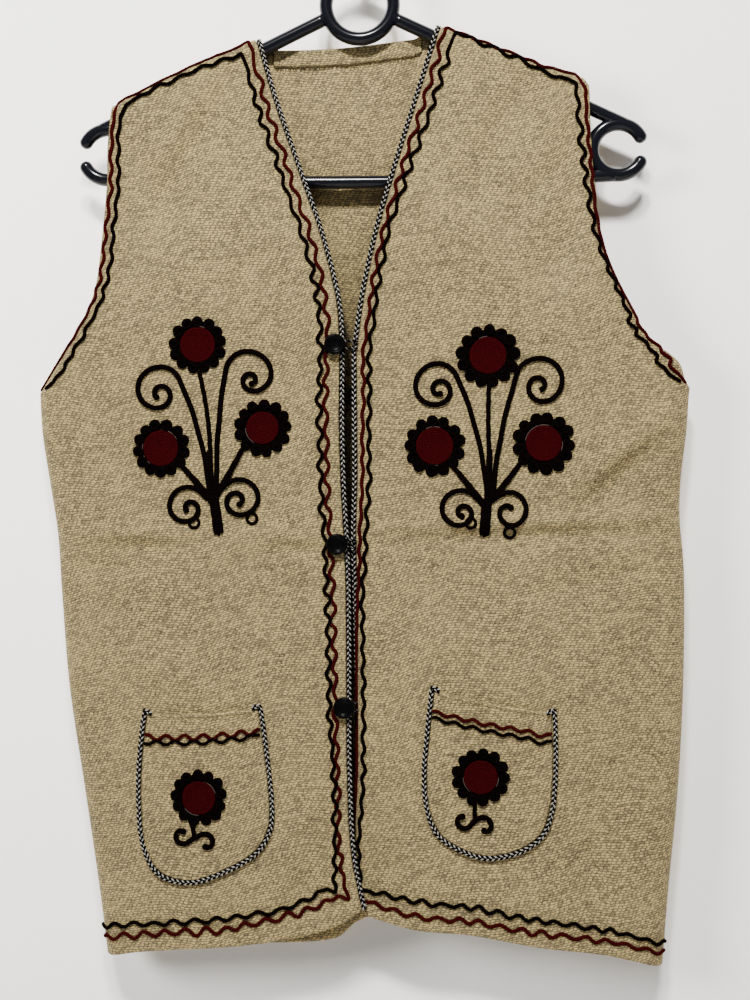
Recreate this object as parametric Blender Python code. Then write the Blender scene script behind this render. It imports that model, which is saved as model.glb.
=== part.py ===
"""Embroidered wool folk vest, hanging on its plastic hanger.

The fronts face -Y, +Z is up and +X is to the right of someone who looks at the fronts.
The origin is the inside top of the hook, where a rail carries it. Sizes are in metres.
"""

import math
from collections import namedtuple

import bpy
from mathutils import Vector
from mathutils.bvhtree import BVHTree

# Cloth and cord
WALL = 0.0024
GAP = 0.0003
SEAM_HALF_GAP = 0.00015
BRAID_HALF_WIDTH = 0.00185
BRAID_HALF_THICKNESS = 0.0014
POCKET_WALL = 0.0018
POCKET_LIFT = 0.0005
LOOP_RADIUS = 0.001
LOOP_SPREAD = 0.0027
BUTTON_RADIUS = 0.0077
BUTTON_THICKNESS = 0.0032
SHANK_RADIUS = 0.0022
SHANK_LENGTH = 0.0030
NECK_HEM_WALL = 0.0017
LOOP_PAST_BRAID = 0.0018
LOOP_NECK = (0.0040, 0.0018)

# Hanger
TUBE_RADIUS = 0.00475
RING_CENTRE = Vector((0.0, 0.0, -0.085))
RING_RADIUS = 0.025
RING_TUBE_RADIUS = 0.005
HOOK_CENTRE = Vector((0.0, 0.0, -0.020))
HOOK_RADIUS = 0.025
HOOK_TUBE_RADIUS = 0.005
NOTCH_RADIUS = 0.0187
NOTCH_TUBE_RADIUS = 0.0049
NOTCH_MOUTH_HALF_ANGLE = 30.0
NOTCH_LEFT = Vector((-0.1886, 0.0, -0.1934))
NOTCH_RIGHT = Vector((0.1897, 0.0, -0.1945))
ARM_SLOPE = 0.477
ARM_CUT_X = 0.165
ARM_INSIDE_RING = 0.003
STUB_IN_NOTCH = 0.004
BAR_SAG = 0.0035
HOOK_TAIL = [(0.0125, -0.0425), (0.0045, -0.0480), (0.0008, -0.0530), (0.0, -0.0600)]

# The fold over the arm: half widths across it (y) and down it (z), to the outer face
FOLD_Y = TUBE_RADIUS + 2 * GAP + WALL
FOLD_Z = 0.0082
FOLD_QUARTER = math.pi / 2 * (FOLD_Y + FOLD_Z) / 2
SWELL = 0.15
SIDE_ROLL = 0.014
SIDE_ROLL_SHARE = 0.55
SIDE_EASE = 0.10
EDGE_STRIP = 0.016
STRIP = [0.0, 0.0055, 0.0108, EDGE_STRIP]
ROLL_ANGLES = (90, 65, 42, 21, 0)
FRONT_MIDDLES = 5
FOLD_END_SHARE = 0.35
POCKET_RINGS = (1.0, 0.74, 0.48, 0.24)

# One row for each section across a front, from the hem up.
# in: its front edge. bend_x: how far the strip's inner line stands from that edge.
# edge_back, bend_back: how far edge and strip line lie behind the body's depth.
# out: side seam, then armhole edge. side_y: depth there. depth: of the body.
Section = namedtuple("Section", "z_in x_in bend_x edge_back bend_back z_out x_out side_y depth")
S = SEAM_HALF_GAP
LEFT_SECTIONS = [
    Section(-0.7470, 0.0035, 0.016, -0.0005, 0.0, -0.7890, -0.1880, S, 0.0280),
    Section(-0.7050, -0.0045, 0.016, -0.0010, 0.0, -0.7350, -0.1950, S, 0.0280),
    Section(-0.6450, -0.0075, 0.016, -0.0010, 0.0, -0.6650, -0.2055, S, 0.0275),
    Section(-0.5800, -0.0085, 0.016, -0.0005, 0.0, -0.5900, -0.2170, S, 0.0260),
    Section(-0.5150, -0.0105, 0.016, 0.0000, 0.0, -0.5180, -0.2230, S, 0.0245),
    Section(-0.4790, -0.0122, 0.016, 0.0005, 0.0, -0.4770, -0.2258, S, 0.0240),
    Section(-0.4430, -0.0138, 0.016, 0.0010, 0.0, -0.4400, -0.2315, S, 0.0235),
    Section(-0.3950, -0.0140, 0.016, 0.0010, 0.0, -0.4020, -0.2375, S, 0.0230),
    Section(-0.3500, -0.0133, 0.016, 0.0010, 0.0, -0.3715, -0.2395, S, 0.0220),
    Section(-0.3080, -0.0156, 0.016, 0.0010, 0.0, -0.3230, -0.2095, 0.0095, 0.0210),
    Section(-0.2580, -0.0280, 0.017, 0.0015, 0.0, -0.2700, -0.1935, 0.0105, 0.0200),
    Section(-0.2080, -0.0453, 0.017, 0.0020, 0.0, -0.2200, -0.1877, 0.0110, 0.0190),
    Section(-0.1580, -0.0628, 0.017, 0.0020, 0.0, -0.1880, -0.1872, 0.0110, 0.0180),
    Section(-0.1185, -0.0745, 0.017, 0.0020, 0.0, -0.1640, -0.1850, 0.0110, 0.0170),
]
RIGHT_SECTIONS = [
    Section(-0.7480, -0.0030, 0.0100, 0.0120, 0.0050, -0.7900, 0.2217, S, 0.0270),
    Section(-0.7050, -0.0042, 0.0080, 0.0150, 0.0035, -0.7350, 0.2260, S, 0.0270),
    Section(-0.6450, -0.0022, 0.0055, 0.0150, 0.0010, -0.6600, 0.2330, S, 0.0275),
    Section(-0.5800, -0.0020, 0.0065, 0.0130, 0.0, -0.5850, 0.2368, S, 0.0265),
    Section(-0.5150, -0.0012, 0.0105, 0.0060, 0.0, -0.5050, 0.2374, S, 0.0245),
    Section(-0.4730, -0.0012, 0.0135, 0.0010, 0.0, -0.4635, 0.2343, S, 0.0240),
    Section(-0.4350, -0.0004, 0.0135, 0.0010, 0.0, -0.4330, 0.2350, S, 0.0235),
    Section(-0.3900, -0.0007, 0.0135, 0.0010, 0.0, -0.4000, 0.2390, S, 0.0230),
    Section(-0.3450, -0.0010, 0.0140, 0.0010, 0.0, -0.3670, 0.2413, S, 0.0220),
    Section(-0.3020, 0.0052, 0.0150, 0.0010, 0.0, -0.3230, 0.2060, 0.0095, 0.0210),
    Section(-0.2520, 0.0160, 0.0160, 0.0015, 0.0, -0.2680, 0.1787, 0.0105, 0.0200),
    Section(-0.2020, 0.0302, 0.0160, 0.0020, 0.0, -0.2150, 0.1720, 0.0110, 0.0190),
    Section(-0.1550, 0.0448, 0.0160, 0.0020, 0.0, -0.1750, 0.1692, 0.0110, 0.0180),
    Section(-0.1123, 0.0580, 0.0160, 0.0020, 0.0, -0.1510, 0.1685, 0.0110, 0.0170),
]
UNDERARM = 8
LAST = len(LEFT_SECTIONS) - 1
BACK_DEPTH = [
    0.0165, 0.0160, 0.0155, 0.0150, 0.0145, 0.0145, 0.0145,
    0.0145, 0.0145, 0.0140, 0.0135, 0.0130, 0.0125, 0.0120,
]

# How far the hem hangs below the straight line between its ends, by the share of the width
Droop = namedtuple("Droop", "share drop")
LEFT_HEM = [
    Droop(0.0, 0.0), Droop(0.06, 0.006), Droop(0.15, 0.0095), Droop(0.30, 0.0100),
    Droop(0.50, 0.0070), Droop(0.75, 0.0010), Droop(0.90, -0.0010), Droop(1.0, 0.0),
]
RIGHT_HEM = [
    Droop(0.0, 0.0), Droop(0.10, 0.0030), Droop(0.22, 0.0040), Droop(0.40, -0.0005),
    Droop(0.60, -0.0010), Droop(0.80, -0.0035), Droop(0.92, -0.0020), Droop(1.0, 0.0),
]
BACK_HEM = [
    Droop(0.0, 0.0), Droop(0.15, -0.0030), Droop(0.33, -0.0045), Droop(0.39, -0.0065),
    Droop(0.42, -0.0100), Droop(0.45, -0.0210), Droop(0.50, -0.0275), Droop(0.62, -0.0240),
    Droop(0.80, -0.0140), Droop(1.0, 0.0),
]

# Height of the shoulder folds and of the back's neck edge
Height = namedtuple("Height", "x z")
LEFT_RIDGE = [
    Height(-0.1850, -0.1572), Height(-0.1750, -0.1518), Height(-0.1470, -0.1393),
    Height(-0.1070, -0.1232), Height(-0.0915, -0.1175), Height(-0.0765, -0.1098),
]
RIGHT_RIDGE = [
    Height(0.0580, -0.1024), Height(0.0700, -0.1070), Height(0.0880, -0.1140),
    Height(0.1150, -0.1240), Height(0.1350, -0.1320), Height(0.1600, -0.1390),
    Height(0.1685, -0.1430),
]
NECK_EDGE = [
    Height(-0.0665, -0.1150), Height(-0.0450, -0.1152), Height(-0.0200, -0.1145),
    Height(0.0050, -0.1125), Height(0.0300, -0.1098), Height(0.0400, -0.1085),
    Height(0.0480, -0.1062),
]
NECK_WRAP = 0.010
NECK_STAND_OFF = 0.0031

# Folds: a soft ridge, or a trough where height is negative, from one end to the other
Fold = namedtuple("Fold", "x0 z0 x1 z1 height width")
LEFT_FOLDS = [
    Fold(-0.205, -0.4775, -0.120, -0.4775, 0.0022, 0.010),
    Fold(-0.090, -0.4790, -0.022, -0.4795, 0.0014, 0.009),
    Fold(-0.215, -0.5020, -0.160, -0.5040, -0.0016, 0.012),
    Fold(-0.092, -0.1450, -0.142, -0.2250, -0.0030, 0.016),
    Fold(-0.200, -0.3900, -0.140, -0.4500, -0.0016, 0.022),
    Fold(-0.050, -0.7650, -0.028, -0.7000, -0.0028, 0.014),
    Fold(-0.150, -0.7700, -0.165, -0.6600, 0.0020, 0.024),
]
RIGHT_FOLDS = [
    Fold(0.020, -0.4725, 0.215, -0.4650, 0.0024, 0.010),
    Fold(0.225, -0.3900, 0.155, -0.4480, 0.0030, 0.014),
    Fold(0.215, -0.4250, 0.165, -0.4560, -0.0024, 0.013),
    Fold(0.160, -0.2350, 0.130, -0.3050, -0.0022, 0.018),
    Fold(0.170, -0.7600, 0.175, -0.6500, -0.0022, 0.024),
    Fold(0.022, -0.7350, 0.030, -0.6900, -0.0020, 0.016),
]
BACK_FOLDS = [
    Fold(-0.010, -0.1350, -0.016, -0.2200, 0.0016, 0.010),
    Fold(-0.200, -0.4775, 0.215, -0.4700, 0.0020, 0.010),
    Fold(-0.150, -0.2300, -0.080, -0.3300, 0.0018, 0.022),
    Fold(0.140, -0.2200, 0.070, -0.3300, 0.0018, 0.022),
    Fold(-0.090, -0.7700, -0.075, -0.6400, 0.0022, 0.024),
    Fold(0.110, -0.7600, 0.100, -0.6300, 0.0020, 0.024),
]

# Pockets: the line that the braid follows, down one side, round and up the other
Spot = namedtuple("Spot", "x z")
LEFT_POCKET = [
    Spot(-0.1550, -0.6075), Spot(-0.1588, -0.6420), Spot(-0.1590, -0.6720), Spot(-0.1560, -0.7000),
    Spot(-0.1450, -0.7220), Spot(-0.1230, -0.7285), Spot(-0.1000, -0.7220), Spot(-0.0750, -0.7085),
    Spot(-0.0635, -0.6920), Spot(-0.0615, -0.6720), Spot(-0.0650, -0.6370), Spot(-0.0700, -0.6030),
]
RIGHT_POCKET = [
    Spot(0.0535, -0.5890), Spot(0.0500, -0.6220), Spot(0.0482, -0.6460), Spot(0.0500, -0.6720),
    Spot(0.0585, -0.6920), Spot(0.0760, -0.7030), Spot(0.0940, -0.7075), Spot(0.1150, -0.7035),
    Spot(0.1320, -0.6920), Spot(0.1395, -0.6720), Spot(0.1420, -0.6400), Spot(0.1412, -0.6045),
]

# Buttons on the left front, and how far in from the right front's edge each loop is sewn
Button = namedtuple("Button", "name x z loop_inset")
BUTTONS = [
    Button("top", -0.0170, -0.3390, 0.003),
    Button("middle", -0.0150, -0.4831, 0.003),
    Button("lower", -0.0092, -0.6008, 0.0108),
]

CORD_SIDES = 6
TUBE_SIDES = 10


def clear_scene():
    for obj in list(bpy.data.objects):
        bpy.data.objects.remove(obj, do_unlink=True)


def make_material(name, colour, roughness, metallic=0.0):
    material = bpy.data.materials.new(name)
    material.use_nodes = True
    shader = material.node_tree.nodes["Principled BSDF"]
    shader.inputs["Base Color"].default_value = (*colour, 1.0)
    shader.inputs["Roughness"].default_value = roughness
    shader.inputs["Metallic"].default_value = metallic
    material.diffuse_color = (*colour, 1.0)
    return material


def add_object(name, points, faces, material):
    mesh = bpy.data.meshes.new(name)
    mesh.from_pydata([tuple(p) for p in points], [], faces)
    mesh.materials.append(material)
    mesh.validate()
    mesh.shade_smooth()
    mesh.set_sharp_from_angle(angle=math.radians(40))
    obj = bpy.data.objects.new(name, mesh)
    bpy.context.scene.collection.objects.link(obj)
    return obj


# Interpolation


def smooth(value):
    value = min(max(value, 0.0), 1.0)
    return value * value * (3.0 - 2.0 * value)


def quarter(value):
    """Rise of a quarter of an ellipse, steep at 0 and level at 1."""
    value = min(max(value, 0.0), 1.0)
    return math.sqrt(1.0 - (1.0 - value) ** 2)


def through(values, t, low, high):
    """A smooth curve through values at whole t, with its ends at low and high."""
    i = min(max(int(t), low), high - 1)
    f = t - i
    a = values[max(i - 1, low)]
    b = values[i]
    c = values[i + 1]
    d = values[min(i + 2, high)]
    return b + 0.5 * f * (c - a + f * (2 * a - 5 * b + 4 * c - d + f * (3 * (b - c) + d - a)))


def section_at(sections, t):
    """The section at row t, with the underarm kept as a corner."""
    low, high = (0, UNDERARM) if t < UNDERARM else (UNDERARM, LAST)
    return Section(*(through(column, t, low, high) for column in zip(*sections)))


def table_value(table, key):
    """Smooth value of a two-column table at key."""
    keys, values = zip(*table)
    key = min(max(key, keys[0]), keys[-1])
    i = max(n for n in range(len(keys) - 1) if keys[n] <= key)
    t = i + (key - keys[i]) / (keys[i + 1] - keys[i])
    return through(values, t, 0, len(keys) - 1)


def fold_height(folds, x, z):
    total = 0.0
    for fold in folds:
        along = Vector((fold.x1 - fold.x0, fold.z1 - fold.z0))
        offset = Vector((x - fold.x0, z - fold.z0))
        share = min(max(offset.dot(along) / along.length_squared, 0.0), 1.0)
        reach = (offset - along * share).length / fold.width
        fade = FOLD_END_SHARE + (1.0 - FOLD_END_SHARE) * math.sin(math.pi * share)
        total += fold.height * fade * math.exp(-reach * reach)
    return total


# Cloth


def fold_profile(run, ridge_z):
    """Depth and height at a run of cloth from the ridge, over the arm and then down."""
    angle = min(run / FOLD_QUARTER, 1.0) * math.pi / 2
    drop = FOLD_Z * (1.0 - math.cos(angle)) + max(run - FOLD_QUARTER, 0.0)
    return FOLD_Y * math.sin(angle), ridge_z - drop


FOLD_RUNS = [FOLD_QUARTER * step / 5 for step in range(6)]


def ridge_at(x):
    return table_value(LEFT_RIDGE if x < 0 else RIGHT_RIDGE, x)


def back_top(x):
    """Where the back's top edge starts on the fold, its ridge height and its stand-off."""
    inside_left = x - LEFT_RIDGE[-1].x
    inside_right = RIGHT_RIDGE[0].x - x
    inside = min(inside_left, inside_right)
    if inside <= 0:
        return 0.0, ridge_at(x), 0.0
    stand_off = NECK_STAND_OFF * smooth((inside / NECK_WRAP - 0.7) / 0.9)
    edge = table_value(NECK_EDGE, x) + FOLD_Z
    near = ridge_at(LEFT_RIDGE[-1].x if inside_left < inside_right else RIGHT_RIDGE[0].x)
    share = smooth(inside / NECK_WRAP)
    ridge = near + (edge - near) * share
    return FOLD_QUARTER * min(inside / NECK_WRAP, 1.0), ridge, stand_off


def side_depth(edge_distance, side_y, depth):
    """Depth of a panel near its side, where it rolls round to the seam."""
    roll = SIDE_ROLL_SHARE * quarter(edge_distance / SIDE_ROLL)
    ease = (1.0 - SIDE_ROLL_SHARE) * smooth(0.5 + 0.5 * edge_distance / SIDE_EASE) * 2.0
    ease -= 1.0 - SIDE_ROLL_SHARE
    return side_y + (depth - side_y) * (roll + ease)


def swelled(base, depth, below):
    """Depth at a distance below the fold, easing from the arm's to the body's."""
    return base + (depth - base) * smooth(below / SWELL)


def front_point(sections, hem, folds, hand, t, across):
    """Outer point of a front. across is (from the front edge, from the side) in metres."""
    row = section_at(sections, t)
    top = sections[LAST]
    start = sections[0]
    width = abs(row.x_out - row.x_in)
    from_edge, from_side = across(width)
    share = from_edge / width
    rise = (row.z_in - start.z_in) / (top.z_in - start.z_in)
    z = row.z_in + (row.z_out - row.z_in) * share
    z -= (1.0 - rise) * table_value(hem, share)
    x_top = top.x_in + (top.x_out - top.x_in) * share
    base_z = ridge_at(x_top) - FOLD_Z
    chord_z = top.z_in + (top.z_out - top.z_in) * share
    z += rise * (base_z - chord_z)
    strip = min(from_edge / EDGE_STRIP, 1.0)
    steep = min(max(row.edge_back - row.bend_back, 0.0) / EDGE_STRIP, 1.0)
    turn_x = (1.0 - steep) * strip + steep * (1.0 - math.cos(strip * math.pi / 2))
    turn_y = (1.0 - steep) * strip + steep * math.sin(strip * math.pi / 2)
    beyond = max(from_edge - EDGE_STRIP, 0.0) / (width - EDGE_STRIP)
    x_bend = row.x_in + hand * row.bend_x
    x = row.x_in + hand * row.bend_x * turn_x + (row.x_out - x_bend) * beyond
    back = row.edge_back + (row.bend_back - row.edge_back) * turn_y
    back *= 1.0 - smooth(beyond / 0.2)
    depth = side_depth(from_side, row.side_y, row.depth - back)
    flat = smooth(from_side / SIDE_ROLL)
    y = swelled(FOLD_Y, depth, base_z - z) + fold_height(folds, x, z) * flat
    return Vector((x, -y, z))


def front_grid(sections, hem, folds, hand):
    """Rows of outer points from the hem to the shoulder seam, each from edge to side."""
    roll = [SIDE_ROLL * (1.0 - math.cos(math.radians(a))) for a in ROLL_ANGLES]
    first_roll = len(STRIP) + FRONT_MIDDLES

    def column(k):
        def across(width):
            if k < len(STRIP):
                return STRIP[k], width - STRIP[k]
            if k < first_roll:
                share = (k - len(STRIP) + 1) / (FRONT_MIDDLES + 1)
                at = EDGE_STRIP + (width - EDGE_STRIP - SIDE_ROLL) * share
                return at, width - at
            from_side = roll[k - first_roll]
            return width - from_side, from_side

        return across

    columns = [column(k) for k in range(first_roll + len(roll))]
    rows = []
    for half in range(2 * LAST + 1):
        rows.append([front_point(sections, hem, folds, hand, half / 2, c) for c in columns])
    base = rows[-1]
    lean = [(p - q).x / (p - q).z for p, q in zip(base, rows[-2])]
    for run in reversed(FOLD_RUNS[:-1]):
        rows.append([over_fold(p, run, slope) for p, slope in zip(base, lean)])
    return rows


def over_fold(base, run, slope):
    """A point of a front on the fold above its base, leaning as its column does."""
    depth, z = fold_profile(run, base.z + FOLD_Z)
    return Vector((base.x + slope * (z - base.z), -max(depth, SEAM_HALF_GAP), z))


def back_columns():
    """Shares of the back's width, closer where its top edge wraps over the arms."""
    left, right = LEFT_RIDGE[0].x, RIGHT_RIDGE[-1].x
    near_left = [LEFT_RIDGE[-1].x + d for d in (0.0, 0.0035, 0.0068, NECK_WRAP, 0.015, 0.023)]
    near_right = [RIGHT_RIDGE[0].x - d for d in (0.023, 0.015, NECK_WRAP, 0.0068, 0.0035, 0.0)]
    neck = [(x - left) / (right - left) for x in near_left + near_right]
    return [0.12, 0.18, 0.25] + neck[:6] + [0.41, 0.45, 0.5, 0.56] + neck[6:] + [0.75, 0.82, 0.88]


def back_base(x):
    """Depth and height of the back just below its fold."""
    run, ridge, stand_off = back_top(x)
    depth, z = fold_profile(run + FOLD_QUARTER, ridge)
    return depth + stand_off, z


def back_point(t, share_of):
    left = section_at(LEFT_SECTIONS, t)
    right = section_at(RIGHT_SECTIONS, t)
    width = right.x_out - left.x_out
    share = share_of(width)
    foot, top = LEFT_SECTIONS[0].z_in, LEFT_SECTIONS[LAST].z_in
    rise = (left.z_in - foot) / (top - foot)
    x = left.x_out + width * share
    z = left.z_out + (right.z_out - left.z_out) * share
    z -= (1.0 - rise) * table_value(BACK_HEM, share)
    ends = LEFT_SECTIONS[LAST], RIGHT_SECTIONS[LAST]
    x_top = ends[0].x_out + (ends[1].x_out - ends[0].x_out) * share
    base_y, base_z = back_base(x_top)
    z += rise * (base_z - (ends[0].z_out + (ends[1].z_out - ends[0].z_out) * share))
    from_side = min(share, 1.0 - share) * width
    depth_row = through(BACK_DEPTH, t, 0, LAST)
    depth = side_depth(from_side, left.side_y, depth_row)
    flat = smooth(from_side / SIDE_ROLL)
    y = swelled(base_y, depth, base_z - z) + fold_height(BACK_FOLDS, x, z) * flat
    return Vector((x, y, z))


def back_grid():
    roll = [SIDE_ROLL * (1.0 - math.cos(math.radians(a))) for a in reversed(ROLL_ANGLES)]
    columns = [lambda width, d=d: d / width for d in roll]
    columns += [lambda width, s=s: s for s in back_columns()]
    columns += [lambda width, d=d: 1.0 - d / width for d in reversed(roll)]
    rows = [[back_point(half / 2, c) for c in columns] for half in range(2 * LAST + 1)]
    base = rows[-1]
    for run in reversed(FOLD_RUNS[:-1]):
        row = []
        for p in base:
            start, ridge, stand_off = back_top(p.x)
            depth, z = fold_profile(start + run, ridge)
            row.append(Vector((p.x, max(depth + stand_off, SEAM_HALF_GAP), z)))
        rows.append(row)
    return rows


def grid_normals(grid, sign):
    """Outward unit normals of a grid of points."""
    normals = []
    for i, row in enumerate(grid):
        line = []
        for k in range(len(row)):
            along = row[min(k + 1, len(row) - 1)] - row[max(k - 1, 0)]
            up = grid[min(i + 1, len(grid) - 1)][k] - grid[max(i - 1, 0)][k]
            line.append(along.cross(up).normalized() * sign)
        normals.append(line)
    return normals


def flatten_at_seams(grid, normals):
    """Where a panel meets its neighbour at y = 0, its wall runs square to that plane."""
    for row, line in zip(grid, normals):
        for k, point in enumerate(row):
            if abs(point.y) < 2 * SEAM_HALF_GAP:
                line[k].y = 0.0
                line[k].normalize()


def wall_faces(rows, columns, flip):
    """Faces of a closed wall whose outer grid comes first and its inner grid second."""
    count = rows * columns
    faces = []
    for i in range(rows - 1):
        for k in range(columns - 1):
            a = i * columns + k
            quad = [a, a + 1, a + columns + 1, a + columns]
            faces.append(quad)
            faces.append([count + v for v in reversed(quad)])
    rim = list(range(columns))
    rim += [i * columns + columns - 1 for i in range(1, rows)]
    rim += [(rows - 1) * columns + k for k in range(columns - 2, -1, -1)]
    rim += [i * columns for i in range(rows - 2, 0, -1)]
    for a, b in zip(rim, rim[1:] + rim[:1]):
        faces.append([b, a, count + a, count + b])
    return [face[::-1] for face in faces] if flip else faces


def make_wall(name, grid, normals, near, far, material, flip):
    """A cloth wall between two distances inside a grid of points."""
    outer = [p - n * near for row, line in zip(grid, normals) for p, n in zip(row, line)]
    inner = [p - n * far for row, line in zip(grid, normals) for p, n in zip(row, line)]
    faces = wall_faces(len(grid), len(grid[0]), flip)
    return add_object(name, outer + inner, faces, material)


def make_panel(name, grid, normals, material, flip):
    flatten_at_seams(grid, normals)
    return make_wall(name, grid, normals, 0.0, WALL, material, flip)


# Cords


def make_cord(name, centres, outs, ups, half_width, half_thickness, sides, material, closed=False):
    """A tube of oval section through centres, with its width along outs."""
    points = []
    for centre, out, up in zip(centres, outs, ups):
        for n in range(sides):
            angle = 2 * math.pi * (n + 0.5) / sides
            offset = out * (half_width * math.cos(angle)) + up * (half_thickness * math.sin(angle))
            points.append(centre + offset)
    rings = len(centres)
    faces = []
    for i in range(rings if closed else rings - 1):
        a, b = i * sides, (i + 1) % rings * sides
        for n in range(sides):
            m = (n + 1) % sides
            faces.append([a + n, a + m, b + m, b + n])
    if not closed:
        faces.append(list(range(sides))[::-1])
        faces.append([(rings - 1) * sides + n for n in range(sides)])
    out, up = outs[0], ups[0]
    run = centres[1] - centres[0]
    if out.cross(up).dot(run) < 0:
        faces = [face[::-1] for face in faces]
    return add_object(name, points, faces, material)


def directions(points, closed=False):
    """Unit direction of a line of points at each of them."""
    count = len(points)
    result = []
    for i in range(count):
        after = points[(i + 1) % count] if closed else points[min(i + 1, count - 1)]
        before = points[i - 1] if closed or i else points[0]
        result.append((after - before).normalized())
    return result


def make_flat_tube(name, points, radius, sides, material, closed=False):
    """A round tube through points that lie in a plane of constant y."""
    ups = [Vector((0.0, 1.0, 0.0))] * len(points)
    outs = [up.cross(d) for up, d in zip(ups, directions(points, closed))]
    return make_cord(name, points, outs, ups, radius, radius, sides, material, closed)


def edge_braid(name, grid, normals, material):
    """The braid sewn along a front's edge, from the hem to the shoulder seam."""
    centres = []
    outs = []
    ups = []
    for row, line in zip(grid, normals):
        out = (row[0] - row[1]).normalized()
        up = (line[0] - out * line[0].dot(out)).normalized()
        middle = row[0] - line[0] * (WALL / 2)
        centres.append(middle + out * (BRAID_HALF_WIDTH + GAP))
        outs.append(out)
        ups.append(up)
    centres[-1] += Vector((0.0, -GAP, 0.0))
    return make_cord(
        name, centres, outs, ups, BRAID_HALF_WIDTH, BRAID_HALF_THICKNESS, CORD_SIDES, material
    )


def surface_tree(grid):
    """A tree of a grid's faces, to find the cloth under a point."""
    columns = len(grid[0])
    points = [p for row in grid for p in row]
    quads = [
        (i * columns + k, i * columns + k + 1, (i + 1) * columns + k + 1, (i + 1) * columns + k)
        for i in range(len(grid) - 1)
        for k in range(columns - 1)
    ]
    return BVHTree.FromPolygons(points, quads)


def on_cloth(tree, x, z):
    """The front's outer point at x and z, and its normal towards the viewer."""
    place, normal, _, _ = tree.ray_cast(Vector((x, -0.2, z)), Vector((0.0, 1.0, 0.0)))
    return place, normal if normal.y < 0 else -normal


def curve_points(spots, steps):
    """Evenly stepped flat points (x, z) along a smooth curve through spots."""
    xs, zs = zip(*spots)
    last = len(spots) - 1
    fine = [n * 0.05 for n in range(20 * last + 1)]
    line = [Vector((through(xs, t, 0, last), through(zs, t, 0, last))) for t in fine]
    lengths = [0.0]
    for a, b in zip(line, line[1:]):
        lengths.append(lengths[-1] + (b - a).length)
    points = []
    i = 0
    for n in range(steps + 1):
        want = lengths[-1] * n / steps
        while i < len(lengths) - 2 and lengths[i + 1] < want:
            i += 1
        share = (want - lengths[i]) / (lengths[i + 1] - lengths[i])
        points.append(line[i].lerp(line[i + 1], share))
    return points


def make_pocket(name, tree, outline, material):
    """A patch pocket inside its braid, its wall just off the front."""
    path = curve_points(outline, 26)
    centre = sum(path, Vector((0.0, 0.0))) / len(path)
    inset = BRAID_HALF_WIDTH + GAP
    edge = []
    for i, p in enumerate(path):
        run = path[min(i + 1, len(path) - 1)] - path[max(i - 1, 0)]
        side = Vector((-run.y, run.x)).normalized()
        if side.dot(centre - p) < 0:
            side = -side
        edge.append(p + side * inset)
    mouth = [edge[-1].lerp(edge[0], n / 6) for n in range(1, 6)]
    loop = edge + mouth
    rings = [[centre.lerp(p, share) for p in loop] for share in POCKET_RINGS]
    flat = [p for ring in rings for p in ring] + [centre]
    spots = [on_cloth(tree, p.x, p.y) for p in flat]
    near = [place + normal * POCKET_LIFT for place, normal in spots]
    far = [place + normal * (POCKET_LIFT + POCKET_WALL) for place, normal in spots]
    count = len(loop)
    faces = []
    for ring in range(len(rings) - 1):
        for n in range(count):
            m = (n + 1) % count
            a, b = ring * count, (ring + 1) * count
            faces.append([a + n, a + m, b + m, b + n])
    last = (len(rings) - 1) * count
    faces += [[last + n, last + (n + 1) % count, len(flat) - 1] for n in range(count)]
    under = [[len(flat) + v for v in reversed(face)] for face in faces]
    rim = [[(n + 1) % count, n, len(flat) + n, len(flat) + (n + 1) % count] for n in range(count)]
    return add_object(name, far + near, faces + under + rim, material)


def pocket_braid(name, tree, outline, material):
    """The braid along a pocket's sides and foot, lying on the front beside its edge."""
    path = curve_points(outline, 34)
    spots = [on_cloth(tree, p.x, p.y) for p in path]
    centres = [place + normal * (POCKET_LIFT + BRAID_HALF_THICKNESS) for place, normal in spots]
    ups = [normal for _, normal in spots]
    outs = [up.cross(run).normalized() for up, run in zip(ups, directions(centres))]
    return make_cord(
        name, centres, outs, ups, BRAID_HALF_WIDTH, BRAID_HALF_THICKNESS, CORD_SIDES, material
    )


# Buttons and their loops


def button_profile():
    """Radius and height of the turned button, from the shank's foot to the dish's centre."""
    back = SHANK_LENGTH
    front = SHANK_LENGTH + BUTTON_THICKNESS
    return [
        (0.0, 0.0),
        (SHANK_RADIUS, 0.0),
        (SHANK_RADIUS, back),
        (BUTTON_RADIUS - 0.0012, back),
        (BUTTON_RADIUS, back + 0.0011),
        (BUTTON_RADIUS - 0.0004, front - 0.0006),
        (BUTTON_RADIUS - 0.0014, front),
        (BUTTON_RADIUS - 0.0026, front - 0.0004),
        (0.0028, front - 0.0014),
        (0.0, front - 0.0015),
    ]


def make_button(button, tree, material):
    """A dished button on its shank, standing on the left front."""
    place, normal = on_cloth(tree, button.x, button.z)
    foot = place + normal * GAP
    side = normal.cross(Vector((0.0, 0.0, 1.0))).normalized()
    up = side.cross(normal).normalized()
    profile = button_profile()
    segments = 16
    points = [foot]
    for radius, height in profile[1:-1]:
        for n in range(segments):
            angle = 2 * math.pi * n / segments
            offset = side * (radius * math.cos(angle)) + up * (radius * math.sin(angle))
            points.append(foot + normal * height + offset)
    points.append(foot + normal * profile[-1][1])
    faces = []
    rings = len(profile) - 2
    for n in range(segments):
        m = (n + 1) % segments
        faces.append([0, 1 + n, 1 + m])
        for ring in range(rings - 1):
            a, b = 1 + ring * segments, 1 + (ring + 1) * segments
            faces.append([a + n, b + n, b + m, a + m])
        last = 1 + (rings - 1) * segments
        faces.append([last + n, len(points) - 1, last + m])
    return add_object("button_" + button.name, points, faces, material)


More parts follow.
